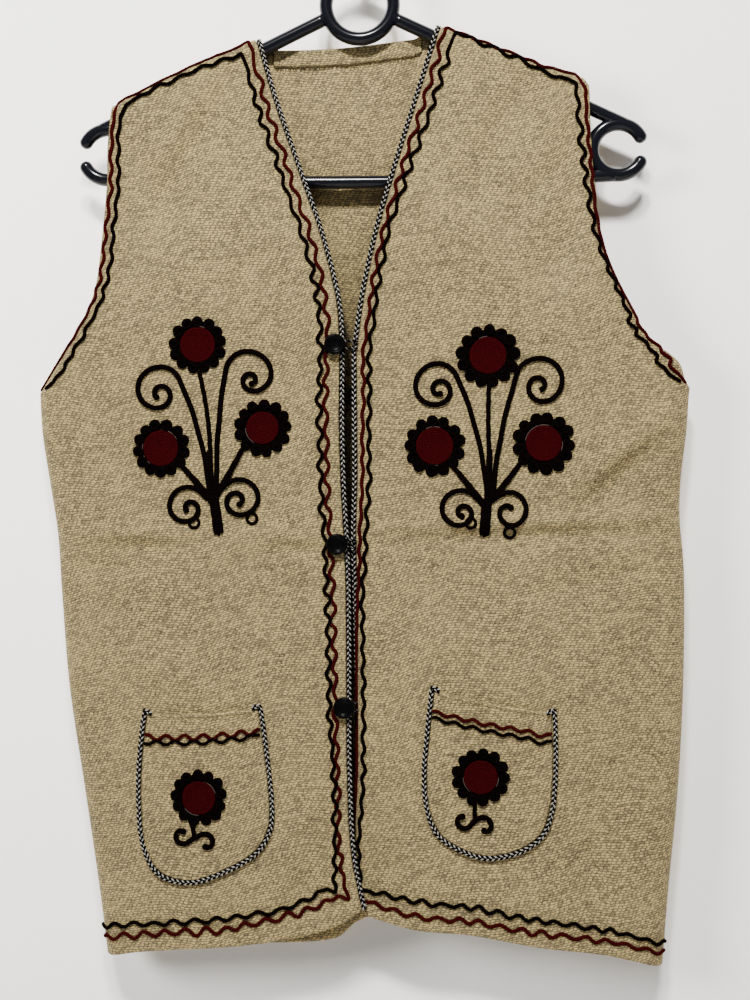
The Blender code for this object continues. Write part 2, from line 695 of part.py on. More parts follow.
def edge_spot(grid, normals, z, inset):
    """A point inset from a front's edge at height z, and the normal there."""
    i = max(n for n in range(len(grid) - 1) if grid[n][0].z <= z)
    share = (z - grid[i][0].z) / (grid[i + 1][0].z - grid[i][0].z)
    k = 0 if inset < STRIP[1] else 1
    across = (inset - STRIP[k]) / (STRIP[k + 1] - STRIP[k])
    low, high = (row[k].lerp(row[k + 1], across) for row in grid[i : i + 2])
    normal = normals[i][k].lerp(normals[i + 1][k], share).normalized()
    return low.lerp(high, share), normal


def make_loop(button, left, left_tree, right, right_normals, material):
    """A loop of cord from the right front's edge round the button's shank."""
    place, normal = on_cloth(left_tree, button.x, button.z)
    turn = SHANK_RADIUS + GAP + LOOP_RADIUS
    shank = place + normal * (GAP + SHANK_LENGTH / 2)
    spot, facing = edge_spot(right, right_normals, button.z, button.loop_inset)
    start = spot + facing * (GAP + LOOP_RADIUS)
    left_edge = min((row[0] for row in left), key=lambda p: abs(p.z - button.z))
    corner_x = left_edge.x + 2 * BRAID_HALF_WIDTH + LOOP_PAST_BRAID
    half = [
        Vector((start.x, start.y, button.z + LOOP_SPREAD)),
        Vector(((start.x + corner_x) / 2, (start.y + shank.y) / 2, button.z + LOOP_SPREAD)),
        Vector((corner_x, shank.y + GAP, button.z + LOOP_SPREAD)),
    ]
    half += [shank + Vector((x, 0.0, turn)) for x in LOOP_NECK]
    bend = [
        shank + Vector((-turn * math.sin(a), 0.0, turn * math.cos(a)))
        for a in (math.radians(d) for d in range(0, 181, 30))
    ]
    other = [Vector((p.x, p.y, 2 * button.z - p.z)) for p in reversed(half)]
    points = half + bend + other
    runs = directions(points)
    flat = [Vector((0.0, -1.0, 0.0)).cross(run).normalized() for run in runs]
    ups = [out.cross(run).normalized() for out, run in zip(flat, runs)]
    return make_cord(
        "loop_" + button.name, points, flat, ups, LOOP_RADIUS, LOOP_RADIUS, CORD_SIDES, material
    )


# Back neck hem


def make_neck_hem(grid, normals, material):
    """The strip turned inward below the back's neck edge."""
    top = grid[-1]
    columns = [k for k, p in enumerate(top) if back_top(p.x)[2] > 0.6 * NECK_STAND_OFF]
    rows = list(range(len(grid) - len(FOLD_RUNS), len(grid)))
    part = [[grid[i][k] for k in columns] for i in rows]
    lines = [[normals[i][k] for k in columns] for i in rows]
    near = WALL + GAP
    return make_wall("back_neck_hem", part, lines, near, near + NECK_HEM_WALL, material, True)


# Hanger


def arc(centre, radius, start, end, steps):
    """Points on a circle in the plane y = 0, by angle from +X towards +Z."""
    angles = [math.radians(start + (end - start) * n / steps) for n in range(steps + 1)]
    return [centre + Vector((radius * math.cos(a), 0.0, radius * math.sin(a))) for a in angles]


def notch_tangent(centre, hand):
    """Where an arm's axis touches the circle of its end notch."""
    tilt = math.atan(ARM_SLOPE)
    return centre + Vector((hand * math.sin(tilt), 0.0, math.cos(tilt))) * NOTCH_RADIUS


def arm_point(centre, hand, x):
    touch = notch_tangent(centre, hand)
    return Vector((x, 0.0, touch.z + ARM_SLOPE * abs(touch.x - x)))


def bar_z(x):
    left = NOTCH_LEFT.z - NOTCH_RADIUS
    right = NOTCH_RIGHT.z - NOTCH_RADIUS
    share = (x - NOTCH_LEFT.x) / (NOTCH_RIGHT.x - NOTCH_LEFT.x)
    return left + (right - left) * share - BAR_SAG * math.sin(math.pi * share)


def hide_helper(obj):
    obj.hide_render = True
    obj.display_type = "WIRE"


def add_boolean(obj, other, operation):
    modifier = obj.modifiers.new(operation.title(), "BOOLEAN")
    modifier.operation = operation
    modifier.solver = "EXACT"
    modifier.object = other
    hide_helper(other)


def make_hanger(material):
    ring_line = arc(RING_CENTRE, RING_RADIUS, 0.0, 345.0, 23)
    make_flat_tube("hanger_neck_ring", ring_line, RING_TUBE_RADIUS, TUBE_SIDES, material, True)
    cutter = make_flat_tube(
        "cutter_neck_ring", ring_line, RING_TUBE_RADIUS + GAP, TUBE_SIDES, material, True
    )
    hide_helper(cutter)
    make_hook(cutter, material)
    for name, centre, hand in (("left", NOTCH_LEFT, -1), ("right", NOTCH_RIGHT, 1)):
        cut = hand * ARM_CUT_X
        inner = arm_point(centre, hand, hand * (RING_RADIUS - ARM_INSIDE_RING))
        line = [inner, arm_point(centre, hand, cut)]
        arm = make_flat_tube("hanger_arm_" + name, line, TUBE_RADIUS, TUBE_SIDES, material)
        add_boolean(arm, cutter, "DIFFERENCE")
        make_notch(name, centre, hand, material)
    cuts = [-ARM_CUT_X + (2 * ARM_CUT_X) * n / 10 for n in range(11)]
    line = [Vector((x, 0.0, bar_z(x))) for x in cuts]
    make_flat_tube("hanger_bar", line, TUBE_RADIUS, TUBE_SIDES, material)


def make_hook(cutter, material):
    """The hook's round, its tail curving in to the neck ring."""
    round_part = arc(HOOK_CENTRE, HOOK_RADIUS, 195.0, -40.0, 20)
    tail = [Vector((x, 0.0, z)) for x, z in HOOK_TAIL]
    line = round_part + tail
    hook = make_flat_tube("hanger_hook", line, HOOK_TUBE_RADIUS, TUBE_SIDES, material)
    add_boolean(hook, cutter, "DIFFERENCE")


def make_notch(name, centre, hand, material):
    """The open ring at an arm's end, with the stubs that the arm and the bar run into."""
    middle = 0.0 if hand > 0 else 180.0
    start = middle + NOTCH_MOUTH_HALF_ANGLE
    ring = arc(centre, NOTCH_RADIUS, start, start + 360 - 2 * NOTCH_MOUTH_HALF_ANGLE, 18)
    end = make_flat_tube("hanger_end_" + name, ring, NOTCH_TUBE_RADIUS, TUBE_SIDES, material)
    cut = hand * (ARM_CUT_X + GAP)
    touch = notch_tangent(centre, hand)
    arm_line = [arm_point(centre, hand, cut), arm_point(centre, hand, touch.x - hand * STUB_IN_NOTCH)]
    arm_stub = make_flat_tube("stub_arm_" + name, arm_line, TUBE_RADIUS, TUBE_SIDES, material)
    bar_line = [Vector((cut, 0.0, bar_z(cut))), Vector((centre.x, 0.0, bar_z(centre.x)))]
    bar_stub = make_flat_tube("stub_bar_" + name, bar_line, TUBE_RADIUS, TUBE_SIDES, material)
    add_boolean(end, arm_stub, "UNION")
    add_boolean(end, bar_stub, "UNION")


def main():
    clear_scene()
    wool = make_material("wool", (0.50, 0.42, 0.28), 0.95)
    braid = make_material("braid", (0.25, 0.25, 0.25), 0.8)
    horn = make_material("button_black", (0.01, 0.01, 0.012), 0.3)
    plastic = make_material("hanger_black", (0.008, 0.008, 0.009), 0.25)

    left = front_grid(LEFT_SECTIONS, LEFT_HEM, LEFT_FOLDS, -1)
    right = front_grid(RIGHT_SECTIONS, RIGHT_HEM, RIGHT_FOLDS, 1)
    back = back_grid()
    left_normals = grid_normals(left, -1)
    right_normals = grid_normals(right, 1)
    back_normals = grid_normals(back, -1)
    make_panel("front_left", left, left_normals, wool, True)
    make_panel("front_right", right, right_normals, wool, False)
    make_panel("back", back, back_normals, wool, True)
    make_neck_hem(back, back_normals, wool)

    edge_braid("braid_front_left", left, left_normals, braid)
    edge_braid("braid_front_right", right, right_normals, braid)
    left_tree = surface_tree(left)
    right_tree = surface_tree(right)
    for name, tree, outline in (
        ("left", left_tree, LEFT_POCKET),
        ("right", right_tree, RIGHT_POCKET),
    ):
        make_pocket("pocket_" + name, tree, outline, wool)
        pocket_braid("braid_pocket_" + name, tree, outline, braid)

    for button in BUTTONS:
        make_button(button, left_tree, horn)
        make_loop(button, left, left_tree, right, right_normals, braid)
    make_hanger(plastic)


main()
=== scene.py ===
"""Embroidered wool folk vest on its plastic hanger: cloth, embroidery, braid, buttons and studio.

Laid out as an add-on and run as a script. Sizes are in metres, and in millimetres in the tables
that table_of() reads. +Z is up and the fronts face -Y.
"""

import bisect
import math
import random
from collections import namedtuple
from itertools import accumulate

import bpy
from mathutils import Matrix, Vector, noise
from mathutils.bvhtree import BVHTree


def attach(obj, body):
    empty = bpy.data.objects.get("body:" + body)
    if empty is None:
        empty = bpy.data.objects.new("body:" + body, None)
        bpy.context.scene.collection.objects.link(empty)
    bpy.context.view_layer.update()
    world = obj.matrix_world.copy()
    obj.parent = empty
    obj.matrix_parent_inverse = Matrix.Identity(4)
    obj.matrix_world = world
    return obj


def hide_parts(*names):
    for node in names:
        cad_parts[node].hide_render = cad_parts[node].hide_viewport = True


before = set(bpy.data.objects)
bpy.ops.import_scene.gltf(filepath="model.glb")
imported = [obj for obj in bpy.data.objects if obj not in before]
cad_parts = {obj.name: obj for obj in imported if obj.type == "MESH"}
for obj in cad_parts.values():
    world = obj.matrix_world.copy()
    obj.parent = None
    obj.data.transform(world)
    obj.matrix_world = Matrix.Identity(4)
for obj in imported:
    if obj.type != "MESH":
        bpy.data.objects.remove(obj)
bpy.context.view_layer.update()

bl_info = {
    "name": "Folk vest on a hanger",
    "version": (1, 0, 0),
    "blender": (4, 5, 0),
    "location": "3D View > Sidebar > Vest",
    "description": "Builds the cloth, embroidery, braid, buttons and hanger of a wool folk vest",
    "category": "Object",
}

VIEWER = Vector((0.0, -1.0, 0.0))

# Cloth and cord
WALL = 0.0024
GAP = 0.0003
SEAM_HALF_GAP = 0.00015
BRAID_HALF_WIDTH = 0.00185
BRAID_HALF_THICKNESS = 0.0014
CORD_HALF_WIDTH = 0.00175
CORD_HALF_THICKNESS = 0.00130
POCKET_WALL = 0.0018
POCKET_LIFT = 0.0005
LOOP_SPREAD = 0.0027
BUTTON_RADIUS = 0.0077
BUTTON_THICKNESS = 0.0032
SHANK_RADIUS = 0.0022
SHANK_LENGTH = 0.0030
NECK_HEM_WALL = 0.0017
LOOP_PAST_BRAID = 0.0018
LOOP_NECK = (0.0040, 0.0018)

# Hanger
TUBE_RADIUS = 0.00475
TUBE_SIDES = 28
RING_CENTRE = Vector((0.0, 0.0, -0.085))
RING_RADIUS = 0.025
RING_TUBE_RADIUS = 0.005
HOOK_CENTRE = Vector((0.0, 0.0, -0.020))
HOOK_RADIUS = 0.025
HOOK_TUBE_RADIUS = 0.005
NOTCH_RADIUS = 0.0187
NOTCH_TUBE_RADIUS = 0.0049
NOTCH_MOUTH_HALF_ANGLE = 30.0
NOTCH_LEFT = Vector((-0.1886, 0.0, -0.1934))
NOTCH_RIGHT = Vector((0.1897, 0.0, -0.1945))
ARM_SLOPE = 0.477
BAR_SAG = 0.0035
HOOK_TAIL = [(0.0125, -0.0425), (0.0045, -0.0480), (0.0008, -0.0530), (0.0, -0.0600)]

# The fold over the arm: half widths across it (y) and down it (z), to the outer face
FOLD_Y = TUBE_RADIUS + 2 * GAP + WALL
FOLD_Z = 0.0082
FOLD_QUARTER = math.pi / 2 * (FOLD_Y + FOLD_Z) / 2
FOLD_STEPS = 8
SWELL = 0.15
SIDE_ROLL = 0.014
SIDE_ROLL_SHARE = 0.55
SIDE_EASE = 0.10
EDGE_STRIP = 0.016
STRIP = [0.0, 0.0014, 0.0028, 0.0050, 0.0075, 0.0103, 0.0131, EDGE_STRIP]
ROLL_ANGLES = (90, 78, 66, 55, 44, 33, 22, 11, 0)
FRONT_MIDDLES = 58
BACK_MIDDLES = 134
ROWS_A_SECTION = 16
FOLD_END_SHARE = 0.35
WIDE_SWAY, CLOSE_SWAY = 0.0014, 0.0004
BORDER_REACH = 40
# How far a wall's edge is taken in and thinned to round it, by the wall
EDGE_TAKEN_IN = 0.30
EDGE_THINNED = 0.10


def row_kind(name, lengths, others=""):
    """A named row. Its lengths come first and are given in millimetres."""
    made = namedtuple(name, lengths + " " + others)
    made.lengths = len(lengths.split())
    return made


def table_of(kind, *values):
    """Named rows of a kind, their lengths turned from millimetres to metres."""
    count = kind.lengths
    return [kind(*(round(v / 1000, 7) for v in row[:count]), *row[count:]) for row in values]


# One row for each section across a front, from the hem up.
# in: its front edge. bend_x: how far the strip's inner line stands from that edge.
# edge_back, bend_back: how far edge and strip line lie behind the body's depth.
# out: side seam, then armhole edge. side_y: depth there. depth: of the body.
Section = row_kind("Section", "z_in x_in bend_x edge_back bend_back z_out x_out side_y depth")
S = 1000 * SEAM_HALF_GAP
LEFT_SECTIONS = table_of(
    Section, (-747, 3.5, 16, -0.5, 0, -789, -188, S, 28), (-705, -4.5, 16, -1, 0, -735, -195, S, 28),
    (-645, -7.5, 16, -1, 0, -665, -205.5, S, 27.5), (-580, -8, 16, -0.5, 0, -590, -217, S, 26),
    (-515, -8.6, 16, 0, 0, -518, -223, S, 24.5), (-479, -10, 16, 0.5, 0, -477, -225.8, S, 24),
    (-443, -12.2, 16, 1, 0, -440, -231.5, S, 23.5), (-395, -13.5, 16, 1, 0, -402, -237.5, S, 23),
    (-350, -13.3, 16, 1, 0, -371.5, -239.5, S, 22), (-308, -15.6, 16, 1, 0, -323, -209.5, 9.5, 21),
    (-258, -28, 17, 1.5, 0, -270, -193.5, 10.5, 20), (-208, -45.3, 17, 2, 0, -220, -187.7, 11, 19),
    (-158, -62.8, 17, 2, 0, -188, -187.2, 11, 18), (-118.5, -74.5, 17, 2, 0, -164, -185, 11, 17),
)
RIGHT_SECTIONS = table_of(
    Section, (-748, -3, 10, 12, 5, -790, 221.7, S, 27), (-705, -3.4, 8.5, 13, 3.5, -735, 226, S, 27),
    (-645, -0.8, 7, 8.5, 1, -660, 233, S, 27.5), (-580, -1, 8, 7.5, 0, -585, 236.8, S, 26.5),
    (-515, -1.4, 11, 4.5, 0, -505, 237.4, S, 24.5), (-473, -1.2, 13.5, 1, 0, -463.5, 234.3, S, 24),
    (-435, -0.4, 13.5, 1, 0, -433, 235, S, 23.5), (-390, -0.7, 13.5, 1, 0, -400, 239, S, 23),
    (-345, -1, 14, 1, 0, -367, 241.3, S, 22), (-302, 5.2, 15, 1, 0, -323, 206, 9.5, 21),
    (-252, 16, 16, 1.5, 0, -268, 178.7, 10.5, 20), (-202, 30.2, 16, 2, 0, -215, 172, 11, 19),
    (-155, 44.8, 16, 2, 0, -175, 169.2, 11, 18), (-112.3, 58, 16, 2, 0, -151, 168.5, 11, 17),
)
UNDERARM = 8
# How an armhole's edge stands out of its section's line: how far, at what height, over how much
Stray = namedtuple("Stray", "out z spread")
LEFT_STRAY, RIGHT_STRAY = Stray(0.0036, -0.2980, 0.0280), Stray(0.0078, -0.3480, 0.0110)
LAST = len(LEFT_SECTIONS) - 1
BACK_DEPTH = [
    0.0165, 0.0160, 0.0155, 0.0150, 0.0145, 0.0145, 0.0145,
    0.0145, 0.0145, 0.0140, 0.0135, 0.0130, 0.0125, 0.0120,
]

# How far the hem hangs below the straight line between its ends, by the share of the width
Droop = row_kind("Droop", "", "share drop")
LEFT_HEM = table_of(
    Droop, (0.0, 0.0), (0.06, 0.006), (0.15, 0.0095), (0.3, 0.01), (0.5, 0.007), (0.75, 0.001),
    (0.9, -0.001), (1.0, 0.0),
)
RIGHT_HEM = table_of(
    Droop, (0.0, 0.0), (0.1, 0.003), (0.22, 0.004), (0.4, -0.0005), (0.6, -0.001), (0.8, -0.0035),
    (0.92, -0.002), (1.0, 0.0),
)
BACK_HEM = table_of(
    Droop, (0.0, 0.0), (0.15, -0.003), (0.33, -0.0045), (0.39, -0.0065), (0.42, -0.01), (0.45, -0.021),
    (0.5, -0.0275), (0.62, -0.024), (0.8, -0.014), (1.0, 0.0),
)

# Height of the shoulder folds and of the back's neck edge
Height = row_kind("Height", "x z")
LEFT_RIDGE = table_of(
    Height, (-185, -157.2), (-175, -151.8), (-147, -139.3), (-107, -123.2), (-91.5, -117.5),
    (-76.5, -109.8),
)
RIGHT_RIDGE = table_of(
    Height, (58, -102.4), (70, -107), (88, -114), (115, -124), (135, -132), (160, -139.4), (165, -142.4),
    (168.5, -147.2),
)
NECK_EDGE = table_of(
    Height, (-66.5, -115), (-45, -115.2), (-20, -114.5), (5, -112.5), (30, -109.8), (40, -108.5),
    (48, -106.2),
)
NECK_WRAP = 0.010
NECK_STAND_OFF = 0.0031

# Folds: a soft ridge, or a trough where height is negative, from one end to the other
Fold = row_kind("Fold", "x0 z0 x1 z1 height width")
LEFT_FOLDS = table_of(
    Fold, (-205, -477, -120, -477, 3.2, 7.5), (-90, -479, -22, -479.5, 2.2, 7.5),
    (-215, -502, -160, -504, -2.4, 10), (-90, -130, -146, -230, -5, 12.5),
    (-113, -144, -158, -226, 2.6, 11), (-200, -390, -140, -450, -2.4, 18), (-50, -765, -28, -700, -3.6, 12),
    (-150, -770, -165, -660, 2.6, 20),
)
RIGHT_FOLDS = table_of(
    Fold, (20, -472.5, 215, -465, 3.4, 7.5), (225, -390, 155, -448, 4.4, 11),
    (215, -418, 165, -453, -3.6, 11), (160, -235, 130, -305, -3.4, 16), (120, -150, 80, -235, -3, 16),
    (170, -760, 175, -650, -3, 20), (16, -745, 26, -695, -3.4, 12),
)
BACK_FOLDS = table_of(
    Fold, (-10, -135, -16, -220, 2.8, 8), (-200, -477.5, 215, -470, 2.8, 8.5),
    (-150, -230, -80, -330, 1.8, 22), (140, -220, 70, -330, 1.8, 22), (-90, -770, -75, -640, 2.2, 24),
    (110, -760, 100, -630, 2, 24),
)

# Pockets: the line that the braid follows, down one side, round and up the other
Spot = row_kind("Spot", "x z")
LEFT_POCKET = table_of(
    Spot, (-155, -607.5), (-158.8, -642), (-159, -672), (-156, -700), (-145, -722), (-123, -728.5),
    (-100, -722), (-75, -708.5), (-63.5, -692), (-61.5, -672), (-65, -637), (-70, -603),
)
RIGHT_POCKET = table_of(
    Spot, (53.5, -589), (50, -622), (48.2, -646), (50, -672), (58.5, -692), (76, -703), (94, -707.5),
    (115, -703.5), (132, -692), (139.5, -672), (142, -640), (141.2, -604.5),
)

# Buttons on the left front, and how far in from the right front's edge each loop is sewn
Button = namedtuple("Button", "name x z loop_inset")
BUTTONS = [
    Button("top", -0.0170, -0.3390, 0.0006),
    Button("middle", -0.0150, -0.4831, 0.0006),
    Button("lower", -0.0092, -0.6008, 0.0030),
]

# Creases finer than the folds: storage creases across, soft dents at the sides and hem
LEFT_CREASES = table_of(
    Fold, (-198, -483.5, -118, -485, -2.2, 5.5), (-62, -486, -23, -487, -1.8, 5),
    (-214, -508.5, -158, -510, 1.8, 5.5), (-140, -506.5, -60, -503, -0.5, 9),
    (-178, -190, -120, -250, -1.8, 11), (-180, -330, -120, -315, 1.8, 15),
    (-165, -560, -110, -595, 1.6, 12), (-42, -740, -60, -690, 2, 10),
)
RIGHT_CREASES = table_of(
    Fold, (18, -479.5, 214, -472.5, -2.2, 5.5), (80, -485, 200, -479, -0.6, 8),
    (222, -403, 168, -447, -2.2, 6.5), (206, -500, 130, -520, -1.8, 9), (160, -190, 110, -245, -1.8, 12),
    (190, -610, 150, -570, 1.8, 12), (40, -560, 90, -545, 1.3, 11), (100, -765, 108, -715, 2, 11),
)
BACK_CREASES = table_of(
    Fold, (-198, -481, 212, -474, -1.2, 4.8), (-16, -130, -21, -200, -0.9, 5),
    (190, -370, 110, -430, 1.1, 11), (-190, -380, -120, -435, 1.1, 11), (20, -780, 30, -710, 1.3, 14),
    (-30, -560, 120, -590, -0.7, 16),
)

# Yarn lines laid in waves along a panel's borders. at: the height or x of the place.
# inset: mean distance in from the border. swing: of the wave. turns: waves counted so far.
Wave = row_kind("Wave", "at inset swing", "turns")
LEFT_RED = {
    "hem": table_of(
        Wave, (-187.8, 13.5, 0, -0.15), (-184.6, 13.7, 2.2, 0.25), (-100, 13.2, 2.3, 5.8),
        (-18.7, 19.2, 2.1, 11.25), (-9.2, 20.5, 0, 11.9),
    ),
    "edge": table_of(
        Wave, (-734.5, 8, 0, 35.9), (-730, 8.4, 1, 35.6), (-690.7, 9.6, 1.9, 32.8), (-660, 7.4, 2.1, 30.8),
        (-629, 7.8, 1.9, 28.86), (-600, 8.7, 1.6, 27.13), (-523.9, 10, 2.1, 22.6),
        (-483.3, 9.8, 1.8, 20.02), (-339, 9.6, 1.6, 11.83), (-328, 8, 1.8, 11.17), (-142.5, 6, 1.9, 0.75),
        (-113.5, 5.8, 1, -0.46),
    ),
    "top": table_of(
        Wave, (-82.5, 2, 0, 0.0), (-90, 3.2, 0.8, 0.45), (-162, 4.4, 0.9, 5.0), (-179, 4, 0, 6.0),
    ),
    "side": table_of(
        Wave, (-166, 3.3, 0, 0.0), (-176, 3.3, 1, 0.55), (-240, 3.6, 1.1, 4.2), (-285, 5.6, 1.2, 7.0),
        (-320, 3.6, 1.1, 9.4), (-345, 3.4, 1, 11.2), (-356, 1.4, 0.2, 12.1), (-370.5, 1, 0, 13.2),
    ),
}
LEFT_BLACK = {
    "hem": table_of(
        Wave, (-187.8, 22.2, 0, 0.35), (-184.6, 22.2, 1.6, 0.61), (-131.1, 20.7, 1.7, 4.25),
        (-52.2, 22.2, 1.7, 9.25), (-23, 27, 1.6, 11.17), (-16, 28.5, 0, 11.6),
    ),
    "edge": table_of(
        Wave, (-725, 16.8, 0, 39.0), (-720, 16, 1.2, 38.6), (-690.7, 12.2, 1.8, 36.3),
        (-660, 10.2, 2, 34.3), (-629, 11.2, 1.8, 32.2), (-600, 13.5, 1.6, 30.13), (-523.9, 14, 2, 25.1),
        (-483.3, 14.4, 1.7, 22.02), (-360, 14.5, 1.6, 14.17), (-280, 12.8, 1.7, 8.76),
        (-146.2, 12.8, 1.8, 0.75), (-130, 12.4, 0.7, -0.25),
    ),
    "top": table_of(
        Wave, (-89, 10.2, 0, 0.0), (-96, 10.4, 1.1, 0.45), (-160, 10.4, 1.1, 4.5), (-171.5, 11.8, 0, 5.2),
    ),
    "side": table_of(
        Wave, (-172, 9, 0, 0.0), (-182, 9, 1.1, 0.55), (-240, 9.6, 1.2, 4.1), (-280, 12.2, 1.3, 6.6),
        (-320, 11.2, 1.3, 9.3), (-345, 13.6, 1.4, 11.2), (-360, 16, 1.3, 12.6), (-370, 11.8, 0.3, 13.6),
    ),
}
RIGHT_RED = {
    "hem": table_of(
        Wave, (221.4, 10.6, 0, 14.2), (218, 10.6, 1.6, 13.97), (13.2, 10.8, 1.7, 0.25), (4, 11, 0, -0.4),
    ),
    "edge": table_of(
        Wave, (-737, 1.4, 0, 38.0), (-730, 1.4, 0.2, 37.6), (-550, 1.4, 0.2, 25.8), (-510, 2.4, 0.7, 23.1),
        (-430, 3.7, 0.7, 18.2), (-339, 5.1, 1.1, 12.6), (-250, 3.7, 1.4, 7.4), (-176, 4.8, 1.8, 3.0),
        (-118, 4.4, 1.8, -0.2), (-105, 3, 0.7, -0.7),
    ),
    "top": table_of(Wave, (64.5, 3.2, 0, 0.0), (72, 4.4, 1.2, 0.4), (125, 5.4, 1.2, 3.6), (158, 4.8, 0, 5.6)),
    "side": table_of(
        Wave, (-156, 5, 0, 0.0), (-165, 4.6, 1.2, 0.5), (-200, 3, 1.4, 2.7), (-240, 2.4, 1, 5.2),
        (-270, 0.8, 0.4, 7.1), (-315, 1, 0.6, 10.2), (-328, 7, 1.6, 11.3), (-340, 10.5, 1.8, 12.4),
        (-348, 15, 1.8, 13.2), (-355, 16.5, 1.8, 13.9), (-362, 15, 1.4, 14.5), (-368.5, 9, 0.2, 15.0),
    ),
}
RIGHT_BLACK = {
    "hem": table_of(
        Wave, (221.4, 17.2, 0, 16.4), (218, 17.4, 1.6, 16.1), (127, 20, 1.7, 9.15), (40, 21.7, 1.7, 2.66),
        (12, 19.5, 1.6, 0.57), (8.5, 19, 0, 0.3),
    ),
    "edge": table_of(
        Wave, (-730, 9.2, 0, 37.8), (-723, 9.2, 1.3, 37.4), (-580, 9.2, 1.3, 28.2), (-523.9, 6, 1.3, 24.6),
        (-430, 8.8, 1.3, 18.9), (-339, 9.4, 1.3, 13.2), (-250, 7.5, 1.9, 7.8), (-176, 11.2, 2.2, 3.25),
        (-127, 11.6, 2.2, 0.25), (-120, 11.6, 1, -0.2),
    ),
    "top": table_of(
        Wave, (71.5, 6, 0, 0.0), (78, 6.2, 1.5, 0.4), (120, 8.2, 1.5, 2.9), (144, 10.8, 0.9, 4.3),
        (153, 11.2, 0, 4.9),
    ),
    "side": table_of(
        Wave, (-156, 13, 0, 0.0), (-163, 12.2, 1.6, 0.35), (-180, 10.2, 1.9, 1.35), (-210, 9, 2, 3.2),
        (-240, 7.4, 1.9, 5.1), (-270, 6, 1.9, 7.0), (-300, 6.8, 1.9, 9.1), (-320, 10, 1.9, 10.6),
        (-330, 15, 1.8, 11.5), (-340, 19, 1.8, 12.5), (-348, 24, 1.8, 13.3), (-356, 26, 1.8, 14.1),
        (-363, 23.5, 1.4, 14.8), (-369.5, 16, 0.3, 15.4),
    ),
}
BACK_RED = {
    "left": table_of(Wave, (-370.5, 3.1, 0, 0.0), (-330, 3.5, 0.8, 2.2), (-164, 3.3, 0.6, 10.6)),
    "right": table_of(Wave, (-366, 2.6, 0, 0.0), (-320, 2.6, 1, 2.6), (-154, 2.6, 0.6, 11.4)),
    "hem": table_of(
        Wave, (-187.8, 13.5, 0, 0.15), (-184, 13.7, 1.4, 0.4), (218, 10.6, 1.4, 27.4),
        (221.4, 10.6, 0, 27.7),
    ),
}
BACK_BLACK = {
    "left": table_of(Wave, (-369, 7.2, 0, 0.0), (-330, 9.2, 0.9, 2.0), (-164, 9, 0.6, 10.2)),
    "right": table_of(Wave, (-364, 7, 0, 0.0), (-320, 7.8, 1.2, 2.5), (-154, 8.2, 0.6, 11.9)),
    "hem": table_of(
        Wave, (-187.8, 22.2, 0, 0.0), (-184, 22.2, 1.2, 0.3), (218, 17.4, 1.2, 28.6),
        (221.4, 17.2, 0, 28.9),
    ),
}
# The same on the pockets: at is x, inset the distance down from the mouth
LEFT_POCKET_WAVES = {
    "red": table_of(
        Wave, (-156.2, 14, 0, 0.0), (-150, 15.8, 1.9, 0.42), (-78, 15.2, 2.1, 5.7), (-70.2, 13.5, 0, 6.2),
    ),
    "black": table_of(
        Wave, (-156.2, 20.5, 0, 0.5), (-150, 19.6, 1.6, 0.92), (-78, 18.8, 1.7, 6.2), (-70.2, 17.2, 0, 6.7),
    ),
}
RIGHT_POCKET_WAVES = {
    "red": table_of(
        Wave, (52.4, 13.6, 0, 0.0), (59, 14, 1.3, 0.4), (120, 14, 1.3, 5.0), (133, 16, 1.3, 6.0),
        (140.5, 13.5, 0, 6.5),
    ),
    "black": table_of(
        Wave, (52.4, 18, 0, 0.0), (59, 18.6, 1.3, 0.4), (120, 19, 1.3, 5.0), (133, 21.2, 1.3, 6.0),
        (140.5, 18.4, 0, 6.5),
    ),
}

# Flower sprays, each row placed from its spray's foot (dx, dz)
Flower = row_kind("Flower", "dx dz radius disc", "petals turn")
Scroll = row_kind("Scroll", "dx dz length", "heading lead lead_turn turn coil")
Stem = row_kind("Stem", "dx0 dz0 dx1 dz1 bow", "yarns narrowing")
Ringlet = row_kind("Ringlet", "dx dz radius")
Spray = namedtuple("Spray", "x z flowers scrolls stems ringlets")
LEFT_SPRAY = Spray(
    -0.101, -0.4787,
    table_of(
        Flower, (-16, 140.4, 21.2, 12.4, 13, 8.0), (-42.8, 65, 21.6, 12.6, 13, 20.0),
        (31.9, 79.5, 21.2, 11.3, 13, 3.0),
    ),
    table_of(
        Scroll, (-6.5, 30.9, 190, 95, 0.46, 20, 604, 0.37), (-1.8, 34.5, 188, 91, 0.46, -10, -646, 0.46),
        (-8, 27.5, 89, 130, 0.12, 17, 550, 0.35), (-1.2, 31.5, 99, 52, 0.12, -16, -590, 0.34),
    ),
    table_of(
        Stem, (0.2, 1.4, -4.6, 33, 0.3, 3, 0.94), (-4.4, 30, -7.4, 64, -0.4, 2, 0.5),
        (-5.8, 50, -14.8, 121.5, 2.2, 1, 1.0), (-4, 25, -30.5, 55.5, 0.6, 2, 0.2),
        (-3, 29, 18, 66, 0.6, 2, 0.15),
    ),
    table_of(Ringlet, (-18.1, 10.6, 3.6), (24.3, 13.8, 3.6)),
)
